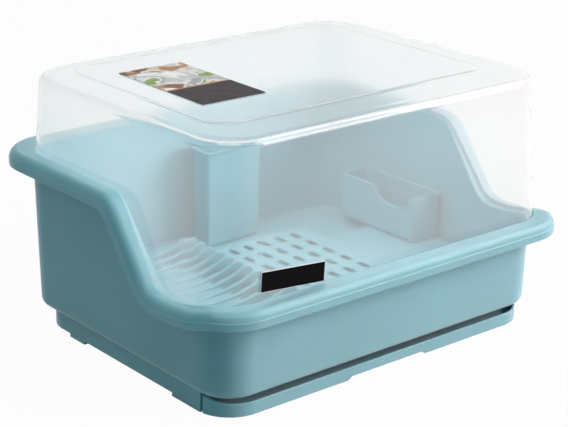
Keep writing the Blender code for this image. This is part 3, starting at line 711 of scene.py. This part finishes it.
def stands():
    """The four feet under the skirt."""
    bm = bmesh.new()
    outer, skirt_front, skirt_back = skirt_reach()
    back_stand = skirt_back - BACK_STAND_INSET - BACK_STAND_LENGTH
    for front, length in ((skirt_front, FRONT_STAND_LENGTH), (back_stand, BACK_STAND_LENGTH)):
        for left in (-outer, outer - STAND_WIDTH):
            block(bm, (left, front, 0.0), (left + STAND_WIDTH, front + length, STAND_HEIGHT))
    return bm


def drain():
    y = DRAIN_FROM_FRONT - tub_outline(FOOT_HEIGHT).half_depth
    hole = oval(0.0, y, 2 * DRAIN_RADIUS, 2 * DRAIN_RADIUS)
    return prism(bmesh.new(), hole, FOOT_HEIGHT - FOOT_ROUND - OVERRUN, FOOT_HEIGHT)


def make_tub(material):
    made = piece("tub_shell", tub_shell(), material)
    combined(made, "UNION", skirt())
    combined(made, "UNION", stands())
    combined(made, "DIFFERENCE", drain())
    return made


def tray_body_half():
    """Half the width of the tray behind its front, between the tub's feet."""
    return skirt_reach()[0] - STAND_WIDTH - GAP


def tray_outline(inset):
    """The tray's face: wide with round corners at the front, then narrower between the tub's feet."""
    reach, skirt_front, skirt_back = skirt_reach()
    front_half = reach + TRAY_OVERHANG - inset
    body_half = tray_body_half() - inset
    front_radius = TRAY_FRONT_CORNER - inset
    back_radius = TRAY_BACK_CORNER - inset
    front = skirt_front - TRAY_REACH + inset
    back = skirt_back - TRAY_BACK_ROOM - inset
    shoulder = skirt_front - TRAY_SEAM - inset
    right = []
    last = math.asin((front + front_radius - shoulder) / front_radius)
    for step in range(CORNER_STEPS + 1):
        turn = mixed(math.radians(90.0), last, step / CORNER_STEPS)
        x = front_half - front_radius * (1.0 - math.cos(turn))
        right.append((x, front + front_radius * (1.0 - math.sin(turn))))
    right.append((body_half, shoulder))
    for sine, cosine in quarter(CORNER_STEPS):
        x = body_half - back_radius * (1.0 - cosine)
        right.append((x, back - back_radius * (1.0 - sine)))
    return right + [(-x, y) for x, y in right[::-1]]


def tray_wall_top(y):
    """The height of the tray's wall: low along the front, higher beside the tub's front corners."""
    front = skirt_reach()[1] - TRAY_REACH
    run = TRAY_REACH - TRAY_SEAM
    share = min(1.0, max(0.0, (y - front) / run))
    if y > skirt_reach()[1]:
        return TRAY_HEIGHT
    return mixed(TRAY_HEIGHT, TRAY_SIDE_HEIGHT, share**2)


def tray_shell():
    outer = tray_outline(0.0)
    inner = tray_outline(TRAY_WALL)
    tops = [tray_wall_top(y) for _, y in outer]
    rings = [
        (level(tray_outline(FINE_EDGE), 0.0), 0.0),
        (level(outer, FINE_EDGE), 0.0),
        ([(x, y, z) for (x, y), z in zip(outer, tops)], FINE_EDGE),
        ([(x, y, z) for (x, y), z in zip(inner, tops)], FINE_EDGE),
        (level(inner, TRAY_FLOOR_TOP + SOFT_EDGE), 0.0),
        (level(tray_outline(TRAY_WALL + SOFT_EDGE), TRAY_FLOOR_TOP), 0.0),
    ]
    return solid(rings)


def tray_recess():
    """The channel under the tray from front to back, with slanted sides."""
    spread_out = TRAY_RECESS_SLANT * OVERRUN / TRAY_UNDERSIDE
    profile = (
        (TRAY_RECESS_LEFT - spread_out, -OVERRUN),
        (TRAY_RECESS_RIGHT + spread_out, -OVERRUN),
        (TRAY_RECESS_RIGHT - TRAY_RECESS_SLANT, TRAY_UNDERSIDE),
        (TRAY_RECESS_LEFT + TRAY_RECESS_SLANT, TRAY_UNDERSIDE),
    )
    front = skirt_reach()[1] - TRAY_REACH - OVERRUN
    rings = [[(x, y, z) for x, z in profile] for y in (front, skirt_reach()[2] + OVERRUN)]
    return loft(bmesh.new(), rings)


def tray_pockets():
    """The hollows under the tray, left and right of the channel, which leave a band to stand on."""
    bm = bmesh.new()
    _, skirt_front, skirt_back = skirt_reach()
    side = tray_body_half() - TRAY_FOOT_BAND
    back = skirt_back - TRAY_BACK_ROOM - TRAY_FOOT_BAND
    front = skirt_front - TRAY_SEAM
    left, right = TRAY_RECESS_LEFT - TRAY_FOOT_BAND, TRAY_RECESS_RIGHT + TRAY_FOOT_BAND
    for low, high in ((-side, left), (right, side)):
        block(bm, (low, front, -OVERRUN), (high, back, TRAY_UNDERSIDE))
    return bm


def make_tray(material):
    made = piece("tray_shell", tray_shell(), material)
    combined(made, "DIFFERENCE", tray_recess())
    combined(made, "DIFFERENCE", tray_pockets())
    return made


def rack_reach():
    """Half the rack's length and depth, inside the tub's wall at the rack's underside."""
    wall = tub_outline(RACK_TOP - RACK_SHEET)
    inset = WALL + RACK_CLEARANCE
    return wall.half_length - inset, wall.half_depth - inset


def rack_outline(inset):
    reach_x, reach_y = (reach - inset for reach in rack_reach())
    return rounded((-reach_x, -reach_y), (reach_x, reach_y), RACK_CORNER - inset, CORNER_STEPS)


def deck_span():
    """The front and the back of the raised floor, and the front of the notch at its back right."""
    reach = rack_reach()[1]
    back = reach - DECK_INSET_BACK
    return DECK_INSET_FRONT - reach, back, back - DECK_NOTCH_DEPTH


def deck_outline(inset):
    left, right = DECK_LEFT + inset, rack_reach()[0] - DECK_MARGIN - inset
    front, back, notch_y = deck_span()
    front += inset
    back -= inset
    notch_x, notch_y = DECK_NOTCH_X - inset, notch_y - inset
    square = [(left, front), (right, front), (right, notch_y)]
    square += [(notch_x, notch_y), (notch_x, back), (left, back)]
    return softened(square, DECK_CORNER - inset)


def rib_places():
    reach = rack_reach()[1]
    return spread(reach - RIB_INSET_BACK, RIB_INSET_FRONT - reach, RIB_COUNT)


def rib_gaps():
    middle = OPENING_LEFT + OPENING_LENGTH / 2
    places, pitch = rib_places()
    width = pitch - RIB_THICKNESS - 2 * OPENING_MARGIN
    return [oval(middle, (a + b) / 2, OPENING_LENGTH, width) for a, b in zip(places, places[1:])]


def deck_slots():
    front, back, _ = deck_span()
    rows, pitch = spread(front + SLOT_INSET_FRONT, back - SLOT_INSET_BACK, SLOT_ROWS)
    columns = [DECK_LEFT + SLOT_INSET_LEFT + number * SLOT_PITCH_X for number in range(SLOT_COLUMNS)]
    return [oval(x, y, SLOT_WIDTH, pitch - SLOT_BRIDGE) for x in columns for y in rows]


def punched(bm, edge, holes, bottom, top, size):
    """A plate with holes and soft edges all round."""
    shape = bpy.data.curves.new("plate", "CURVE")
    shape.dimensions = "2D"
    shape.fill_mode = "BOTH"
    shape.extrude = (top - bottom) / 2 - size
    shape.bevel_depth = size
    shape.bevel_resolution = BEVEL_STEPS
    shape.offset = -size
    for outline in [edge] + [hole[::-1] for hole in holes]:
        spline = shape.splines.new("POLY")
        spline.points.add(len(outline) - 1)
        for point, (x, y) in zip(spline.points, outline):
            point.co = (x, y, 0.0, 1.0)
        spline.use_cyclic_u = True
    holder = placed("plate", shape)
    mesh = final_mesh(holder)
    mesh.transform(Matrix.Translation((0.0, 0.0, (top + bottom) / 2)))
    bm.from_mesh(mesh)
    bpy.data.objects.remove(holder)
    bpy.data.meshes.remove(mesh)


def rack_bead(bm):
    """The raised edge round the rack."""
    low, high = RACK_TOP - RACK_SHEET / 2, RACK_TOP + RACK_EDGE_HEIGHT
    turns = (
        (FINE_EDGE, low, 0.0),
        (0.0, low + FINE_EDGE, 0.0),
        (0.0, high, SOFT_EDGE),
        (RACK_EDGE_WIDTH, high, SOFT_EDGE),
        (RACK_EDGE_WIDTH, low, 0.0),
    )
    rings = [(level(rack_outline(inset), z), size) for inset, z, size in turns]
    loft(bm, eased(rings), closed=True)


def deck_wall(bm):
    """The upright edge of the raised floor, just inside the edge of its top."""
    low, high = RACK_TOP - RACK_SHEET / 2, DECK_TOP - RACK_SHEET / 2
    turns = ((GAP / 2, low), (GAP / 2, high), (RACK_SHEET, high), (RACK_SHEET, low))
    loft(bm, [level(deck_outline(inset), z) for inset, z in turns], closed=True)


def rib_profile():
    """The rib's top line, with its corners eased."""
    points = []
    for along, up in RIB_SHARES:
        points.append(Vector((RIB_LEFT + RIB_LENGTH * along, RACK_TOP + RIB_HEIGHT * up)))
    line = [points[0]]
    for before, here, after in zip(points, points[1:], points[2:]):
        start, end = toward(here, before, RIB_LENGTH), toward(here, after, RIB_LENGTH)
        line += curve(start, here, end, EDGE_STEPS)
    return line + [points[-1]]


def ribs(bm):
    """Arched ribs along X with round upper edges, between which the plates stand."""
    base = RACK_TOP - RACK_SHEET / 2
    line = rib_profile()
    middle = RIB_LEFT + RIB_LENGTH / 2
    half = RIB_THICKNESS / 2
    for place in rib_places()[0]:
        rings = []
        turns = quarter(EDGE_STEPS)
        sides = [(-half + RIB_EDGE * (1.0 - cosine), RIB_EDGE * (1.0 - sine)) for sine, cosine in turns]
        sides += [(-offset, drop) for offset, drop in sides[::-1]]
        for offset, drop in sides:
            shrink = 1.0 - 2 * drop / RIB_LENGTH
            ring = [(mixed(middle, x, shrink), place + offset, z - drop) for x, z in line]
            ring += [(mixed(middle, x, shrink), place + offset, base) for x, _ in (line[-1], line[0])]
            rings.append(ring)
        loft(bm, rings)


def legs(bm):
    """Legs down to the tub's floor, at the corners and half way along three sides."""
    reach_x, reach_y = rack_reach()
    x, y = reach_x - LEG_INSET_X, reach_y - LEG_INSET_Y
    floor = FOOT_HEIGHT - FOOT_ROUND + WALL + GAP
    half = LEG_SIZE / 2
    for leg_x, leg_y in ((-x, -y), (0.0, -y), (x, -y), (-x, 0.0), (-x, y), (0.0, y), (x, y)):
        low, high = (leg_x - half, leg_y - half), (leg_x + half, leg_y + half)
        outline = rounded(low, high, SOFT_EDGE, EDGE_STEPS)
        prism(bm, outline, floor, RACK_TOP - RACK_SHEET + LEG_BITE)


def make_rack(material):
    bm = bmesh.new()
    bottom = RACK_TOP - RACK_SHEET
    punched(bm, rack_outline(0.0), [deck_outline(RACK_SHEET)] + rib_gaps(), bottom, RACK_TOP, FINE_EDGE)
    deck_bottom = DECK_TOP - RACK_SHEET
    punched(bm, deck_outline(0.0), deck_slots(), deck_bottom, DECK_TOP, RACK_SHEET / 2 - GAP / 2)
    rack_bead(bm)
    deck_wall(bm)
    ribs(bm)
    legs(bm)
    return piece("rack_moulding", bm, material)


def scoop_drop(y, front):
    """How deep the dip in the utensil box's edge is at a place along it."""
    across = abs((y - front) / SCOOP_WIDTH * 2 - 1.0)
    if across >= 1.0:
        return 0.0
    return SCOOP_DEPTH * (1.0 - across ** SCOOP_POWERS[0]) ** SCOOP_POWERS[1]


def side_places(low, high, front):
    """Places along the left wall, from back to front, closer at the scoop's ends."""
    count = 2 * CORNER_STEPS
    turns = [math.radians(180.0 * step / count) for step in range(count + 1)]
    made = [front + SCOOP_WIDTH / 2 * (1.0 + math.cos(turn)) for turn in turns]
    return [y for y in made if low < y < high]


def open_box(low, high, scoop_front):
    """A box with round upright corners, open at the top, with a bead round its mouth."""
    bottom, top = low[2], high[2]
    bead = top - BOX_BEAD_HEIGHT
    inner = BOX_BEAD + BOX_WALL

    def ring(inset, z, follow):
        lower = (low[0] + inset, low[1] + inset)
        upper = (high[0] - inset, high[1] - inset)
        points = level(rounded(lower, upper, BOX_CORNER - inset), z)
        if scoop_front is None:
            return points
        left_start = 3 * (SMALL_CORNER_STEPS + 1)
        side = []
        for y in side_places(lower[1] + BOX_CORNER, upper[1] - BOX_CORNER, scoop_front):
            side.append((lower[0], y, z - follow * scoop_drop(y, scoop_front)))
        return points[:left_start] + side + points[left_start:]

    rings = []
    for sine, cosine in quarter(EDGE_STEPS):
        z = bottom + BOX_ROUND * (1.0 - cosine)
        rings.append((ring(BOX_BEAD + BOX_ROUND * (1.0 - sine), z, 0.0), 0.0))
    rings += [
        (ring(BOX_BEAD, bead, 1.0), 0.0),
        (ring(0.0, bead + BOX_BEAD, 1.0), FINE_EDGE),
        (ring(0.0, top, 1.0), FINE_EDGE),
        (ring(inner, top, 1.0), FINE_EDGE),
        (ring(inner, bottom + BOX_WALL + SOFT_EDGE, 0.0), 0.0),
        (ring(inner + SOFT_EDGE, bottom + BOX_WALL, 0.0), 0.0),
    ]
    return solid(rings)


def make_box(name, low, high, drains, material, scoop_front=None):
    """An open box with drain slots in its floor, and a scoop in its left wall if that has a place."""
    made = piece(name, open_box(low, high, scoop_front), material)
    count, step, size = drains
    bm = bmesh.new()
    for number in range(count):
        share = number - (count - 1) / 2
        x, y = [(a + b) / 2 + share * by for a, b, by in zip(low, high, step)]
        prism(bm, oval(x, y, *size), low[2] - OVERRUN, low[2] + BOX_WALL + OVERRUN)
    combined(made, "DIFFERENCE", bm)
    return made


def make_cutlery_box(material):
    back = rack_reach()[1] - RACK_EDGE_WIDTH - GAP + BOX_BEAD
    low = (CUTLERY_LEFT, back - CUTLERY_DEPTH, RACK_TOP + GAP)
    high = (CUTLERY_LEFT + CUTLERY_LENGTH, back, CUTLERY_TOP)
    return make_box("cutlery_box_shell", low, high, CUTLERY_DRAINS, material)


def make_utensil_box(material):
    right = tub_outline(DECK_TOP).half_length - WALL - BOX_ROOM
    front = deck_span()[2] - UTENSIL_REACH
    low = (right - UTENSIL_LENGTH, front, DECK_TOP + GAP)
    high = (right, front + UTENSIL_DEPTH, UTENSIL_TOP)
    scoop_front = front + SCOOP_FROM_FRONT
    return make_box("utensil_box_shell", low, high, UTENSIL_DRAINS, material, scoop_front)


def panel_reach():
    """Half the length of the lid's raised panel, its front and its back."""
    head = lid_outline(lid_shoulder())
    half_length = head.half_length - PANEL_INSET_X
    return half_length, PANEL_INSET_FRONT - head.half_depth, head.half_depth - PANEL_INSET_BACK


def panel_ring(grow, z):
    half_length, front, back = panel_reach()
    outline = grown(Outline(half_length, (back - front) / 2, PANEL_CORNER), grow)
    ring = []
    for station in PLACES:
        x, y, _ = station_point(station, outline, z)
        if not station.side_y:
            y = station.y * (outline.half_depth - outline.radius) / straight_limit()
        ring.append((x, y + (front + back) / 2, z))
    return ring


def lid_crown(depth):
    """Rings from the middle of the lid's top to its wall, at a depth below its outer face."""
    top = lid_shoulder() + LID_ROUND - depth
    head = lid_outline(lid_shoulder())
    rings = [
        (panel_ring(0.0, LID_TOP - depth), 0.0),
        (panel_ring(PANEL_STEP_WIDTH, LID_TOP - PANEL_STEP - depth), PANEL_STEP_WIDTH / 2),
        (flat_ring(grown(head, -LID_BAND), top + LID_BAND_RISE), BROAD_EDGE),
    ]
    radius = LID_ROUND - depth
    for sine, cosine in quarter(ROUND_STEPS):
        outline = grown(head, -depth - radius * (1.0 - sine))
        rings.append((flat_ring(outline, top - radius * (1.0 - cosine)), 0.0))
    return rings


def lid_shell():
    foot_rise = GAP - SEAT_DEPTH
    foot = [(rim_ring(lid_outline, foot_rise, by), FINE_EDGE) for by in (0.0, -LID_WALL)]
    return solid(lid_crown(0.0) + foot + lid_crown(LID_WALL)[::-1])


def sheet_piece(name, length, depth, thickness, material):
    """A thin sheet with round corners and soft edges, on z from 0 to its thickness."""
    bm = bmesh.new()
    rings = []
    edge = thickness * SHEET_EDGE_SHARE
    for inset, z in ((edge, 0.0), (0.0, edge), (0.0, thickness - edge), (edge, thickness)):
        low, high = (inset - length / 2, inset - depth / 2), (length / 2 - inset, depth / 2 - inset)
        rings.append(level(rounded(low, high, SHEET_CORNER - inset), z))
    loft(bm, rings)
    return piece(name, bm, material)


def make_label(material):
    made = sheet_piece("top_label", LABEL_LENGTH, LABEL_DEPTH, LABEL_THICKNESS, material)
    panel_half, panel_front, _ = panel_reach()
    x = LABEL_INSET_LEFT + LABEL_LENGTH / 2 - panel_half
    made.location = (x, panel_front + LABEL_INSET_FRONT + LABEL_DEPTH / 2, LID_TOP + GAP)
    made.rotation_euler = (0.0, 0.0, math.radians(LABEL_TURN))
    return made


def make_plate(material):
    """The plate lies flat on the lid's front wall, which leans back, and hangs a little askew."""
    made = sheet_piece("name_plate", PLATE_LENGTH, PLATE_HEIGHT, PLATE_THICKNESS, material)
    made.data.transform(Matrix.Translation((0.0, 0.0, GAP)))
    made.data.transform(Matrix.Rotation(math.radians(90.0), 4, "X"))
    z = FRONT_TOP + PLATE_RISE
    wall = lid_outline(z)
    lean = math.atan2(wall.half_depth - lid_outline(lid_shoulder()).half_depth, lid_shoulder() - z)
    made.location = (PLATE_INSET_LEFT + PLATE_LENGTH / 2 - wall.half_length, -wall.half_depth, z)
    made.rotation_mode = "YXZ"
    made.rotation_euler = (-lean, math.radians(PLATE_TILT), 0.0)
    return made


def add(tree, kind, inputs=None, **settings):
    """A shader node with its settings, and its inputs as values or as sockets to link from."""
    made = tree.nodes.new("ShaderNode" + kind)
    for name, value in settings.items():
        setattr(made, name, value)
    for name, value in (inputs or {}).items():
        if isinstance(value, bpy.types.NodeSocket):
            tree.links.new(value, made.inputs[name])
        else:
            made.inputs[name].default_value = value
    return made


def result(tree, kind, inputs, **settings):
    """The first output of a new node."""
    return add(tree, kind, inputs, **settings).outputs[0]


def rgba(colour):
    return (*colour, 1.0)


def empty_tree(owner):
    """The nodes of a new material or world, without any yet."""
    owner.use_nodes = True
    owner.node_tree.nodes.clear()
    return owner.node_tree


def start_material(name):
    """A new material, its nodes and the coordinates of the piece that carries it."""
    made = bpy.data.materials.new(name)
    tree = empty_tree(made)
    return made, tree, add(tree, "TexCoord").outputs["Object"]


def noise(tree, where, pattern):
    return result(tree, "TexNoise", {"Vector": where, "Scale": pattern[0], "Detail": pattern[1]})


def ranged(tree, value, span, source):
    """A value's place between two, moved to between two others."""
    inputs = {"Value": value, "From Min": source[0], "From Max": source[1]}
    return result(tree, "MapRange", {**inputs, "To Min": span[0], "To Max": span[1]})


def varied(tree, where, pattern):
    """A value that varies over a surface."""
    return ranged(tree, noise(tree, where, pattern), pattern[2:], NOISE_SPAN)


def short_of(tree, value, place, span):
    """1 before a place and 0 past it, with a short way between them."""
    return ranged(tree, value, (1.0, 0.0), (place + span[0], place + span[1]))


def reckoned(tree, operation, *values, clamp=False):
    return result(tree, "Math", dict(enumerate(values)), operation=operation, use_clamp=clamp)


def tinted(tree, share, low, high):
    """A colour between two, by a share from a node. The lower one may come from a node too."""
    low = low if isinstance(low, bpy.types.NodeSocket) else rgba(low)
    inputs = {"Factor": share, MIX_FIRST: low, MIX_SECOND: rgba(high)}
    return add(tree, "Mix", inputs, data_type="RGBA").outputs[MIX_RESULT]


def ramped(tree, value, stops):
    """The colour along a ramp of places and colours."""
    ramp = add(tree, "ValToRGB", {"Fac": value})
    ends = ramp.color_ramp.elements
    for end, (place, colour) in enumerate((stops[0], stops[-1])):
        ends[end].position = place
        ends[end].color = rgba(colour)
    for place, colour in stops[1:-1]:
        ends.new(place).color = rgba(colour)
    return ramp.outputs["Color"]


def bumped(tree, where, relief, under=None):
    """The normals of a relief, and of another one under it."""
    inputs = {"Height": noise(tree, where, relief), "Strength": relief[2], "Distance": relief[3]}
    if under:
        inputs["Normal"] = under
    return result(tree, "Bump", inputs)


def between(tree, share, first, second):
    """A shader between two, by a share."""
    return result(tree, "MixShader", {0: share, 1: first, 2: second})


def close(tree, shader):
    add(tree, "OutputMaterial", {"Surface": shader})


def close_plain(tree, colour, roughness, normal, surface):
    """The main shader, with what is the same all over set on its own sockets."""
    inputs = {"Base Color": colour, "Roughness": roughness, "Normal": normal, **surface}
    close(tree, result(tree, "BsdfPrincipled", inputs))


def teal_material():
    """Satin moulded plastic: a faint mottle, flow marks from the mould and a very fine grain."""
    made, tree, where = start_material("teal_moulded")
    darker, lighter = [[value * shade for value in TEAL] for shade in TEAL_SHADES]
    colour = tinted(tree, varied(tree, where, TEAL_MOTTLE), darker, lighter)
    grain = bumped(tree, where, TEAL_GRAIN, bumped(tree, where, TEAL_FLOW))
    close_plain(tree, colour, varied(tree, where, TEAL_ROUGHNESS), grain, TEAL_SURFACE)
    return made


def lid_material():
    """Clear plastic, milkier where it is seen edge on. Light that falls in passes it."""
    made, tree, where = start_material("lid_clear")
    ripple = bumped(tree, where, LID_RIPPLE, bumped(tree, where, LID_FLOW))
    clear = {"Color": rgba(LID_CLEAR), "Roughness": varied(tree, where, LID_ROUGHNESS), "IOR": LID_IOR}
    glass = result(tree, "BsdfGlass", {**clear, "Normal": ripple})
    hazy = {"Color": rgba(LID_HAZE), "Normal": ripple}
    matte = result(tree, "BsdfDiffuse", hazy)
    milk = between(tree, 0.5, matte, result(tree, "BsdfTranslucent", hazy))
    facing = add(tree, "LayerWeight", {"Blend": 0.5, "Normal": ripple}).outputs["Facing"]
    steep = reckoned(tree, "POWER", facing, LID_EDGE_POWER)
    haze = varied(tree, where, LID_MILK)
    thick = reckoned(tree, "MULTIPLY_ADD", steep, LID_EDGE_MILK, haze, clamp=True)
    body = between(tree, thick, glass, milk)
    path = add(tree, "LightPath").outputs
    passed = reckoned(tree, "MAXIMUM", path["Is Shadow Ray"], path["Is Diffuse Ray"])
    open_way = result(tree, "BsdfTransparent", {"Color": rgba(LID_PASS)})
    close(tree, between(tree, passed, body, open_way))
    return made


def label_material():
    """Coated paper: a plain dark field in front, and soft round patches of colour behind it."""
    made, tree, where = start_material("label_print")
    wander = add(tree, "TexNoise", {"Vector": where, **LABEL_WANDER}).outputs["Color"]
    moved = {0: wander, 1: (LABEL_DRIFT, LABEL_DRIFT, 0.0), 2: where}
    bent = result(tree, "VectorMath", moved, operation="MULTIPLY_ADD")
    cells = {"voronoi_dimensions": "2D", "feature": "SMOOTH_F1"}
    patches = add(tree, "TexVoronoi", {"Vector": bent, **LABEL_PATCHES}, **cells)
    pick = result(tree, "SeparateColor", {"Color": patches.outputs["Color"]})
    shaded = {"Vector": ramped(tree, pick, LABEL_RAMP), "Scale": varied(tree, where, LABEL_SHADE)}
    picture = result(tree, "VectorMath", shaded, operation="SCALE")
    y = add(tree, "SeparateXYZ", {"Vector": where}).outputs["Y"]
    border = LABEL_DEPTH * LABEL_BORDER_SHARE
    edged = tinted(tree, short_of(tree, y, border, LABEL_STRIP), picture, LABEL_TAN)
    printed = tinted(tree, short_of(tree, y, border, LABEL_LINE), edged, LABEL_DARK)
    roughness = varied(tree, where, LABEL_ROUGHNESS)
    close_plain(tree, printed, roughness, bumped(tree, where, LABEL_FIBRE), LABEL_SURFACE)
    return made


def plate_material():
    """Black printed plastic with a thin pale edge."""
    made, tree, where = start_material("plate_print")
    axes = add(tree, "SeparateXYZ", {"Vector": where}).outputs
    shares = []
    for axis, half in (("X", PLATE_LENGTH / 2), ("Z", PLATE_HEIGHT / 2)):
        size = reckoned(tree, "ABSOLUTE", axes[axis])
        shares.append(ranged(tree, size, (0.0, 1.0), (half + PLATE_RIM[0], half + PLATE_RIM[1])))
    colour = tinted(tree, reckoned(tree, "MAXIMUM", *shares), PLATE_BLACK, PLATE_EDGE)
    roughness = varied(tree, where, PLATE_ROUGHNESS)
    close_plain(tree, colour, roughness, bumped(tree, where, PLATE_GRAIN), PLATE_SURFACE)
    return made


def seen_directly(tree):
    """1 on rays from the camera, from a reflection or through glass, and 0 on rays that light things."""
    path = add(tree, "LightPath").outputs
    first = reckoned(tree, "ADD", path["Is Camera Ray"], path["Is Glossy Ray"])
    return reckoned(tree, "ADD", first, path["Is Transmission Ray"], clamp=True)


def floor_material():
    made = bpy.data.materials.new("studio_floor")
    tree = empty_tree(made)
    plain = result(tree, "BsdfDiffuse", {"Color": rgba(FLOOR_COLOUR)})
    glow = result(tree, "Emission", {"Color": rgba(WHITE), "Strength": 1.0})
    share = reckoned(tree, "MULTIPLY", seen_directly(tree), FLOOR_GLOW_SHARE)
    close(tree, between(tree, share, plain, glow))
    return made


def make_floor():
    half = FLOOR_SIZE / 2
    slab = block(bmesh.new(), (-half, -half, -FLOOR_DROP - OVERRUN), (half, half, -FLOOR_DROP))
    made = piece("studio_floor", slab, floor_material())


def make_world():
    world = bpy.data.worlds.new("studio")
    tree = empty_tree(world)
    ambient = result(tree, "Background", {"Color": rgba(SKY), "Strength": AMBIENT})
    white = result(tree, "Background", {"Color": rgba(WHITE), "Strength": 1.0})
    surface = between(tree, seen_directly(tree), ambient, white)
    add(tree, "OutputWorld", {"Surface": surface})
    bpy.context.scene.world = world


def lamp(name, place, target, size, power, colour, unseen):
    data = bpy.data.lights.new(name, "AREA")
    data.shape = "RECTANGLE"
    data.size, data.size_y = size
    data.energy = power
    data.color = colour
    made = placed(name, data)
    made.location = place
    made.rotation_euler = (Vector(target) - Vector(place)).to_track_quat("-Z", "Y").to_euler()
    for ray in unseen.split():
        setattr(made, "visible_" + ray, False)


def make_lamps():
    """Inner is light that the milky lid passes on to the inside. Only reflections see the card."""
    for name, settings in LAMPS.items():
        lamp(name, *settings)


def make_camera():
    data = bpy.data.cameras.new("photo_camera")
    data.sensor_width = SENSOR
    data.sensor_fit = "HORIZONTAL"
    data.lens = CAMERA_FOCAL_PIXELS / PHOTO_WIDTH * SENSOR
    data.clip_end = CLIP_END
    data.dof.use_dof = False
    yaw, pitch, roll = CAMERA_TURN
    flat = math.cos(pitch)
    forward = Vector((math.sin(yaw) * flat, math.cos(yaw) * flat, -math.sin(pitch)))
    across = Vector((math.cos(yaw), -math.sin(yaw), 0.0))
    upright = across.cross(forward)
    right = across * math.cos(roll) + upright * math.sin(roll)
    up = upright * math.cos(roll) - across * math.sin(roll)
    made = placed("photo_camera", data)
    turn = Matrix((right, up, -forward)).transposed()
    made.matrix_world = Matrix.Translation(CAMERA_PLACE) @ turn.to_4x4()
    bpy.context.scene.camera = made


def fit(made, node, body):
    """The piece stands for its CAD node."""
    smooth(made)
    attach(made, body)
    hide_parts(node)


def main():
    scene = bpy.context.scene
    scene.view_settings.view_transform = "Standard"
    teal = teal_material()
    fit(make_tub(teal), "tub", "tub")
    fit(make_tray(teal), "drip_tray", "tray")
    fit(make_rack(teal), "plate_rack", "rack")
    fit(make_cutlery_box(teal), "cutlery_box", "cutlery")
    fit(make_utensil_box(teal), "utensil_box", "utensils")
    fit(piece("lid_shell", lid_shell(), lid_material()), "lid", "lid")
    fit(make_label(label_material()), "lid_label", "lid")
    fit(make_plate(plate_material()), "front_plate", "lid")
    make_floor()
    make_world()
    make_lamps()
    make_camera()


main()
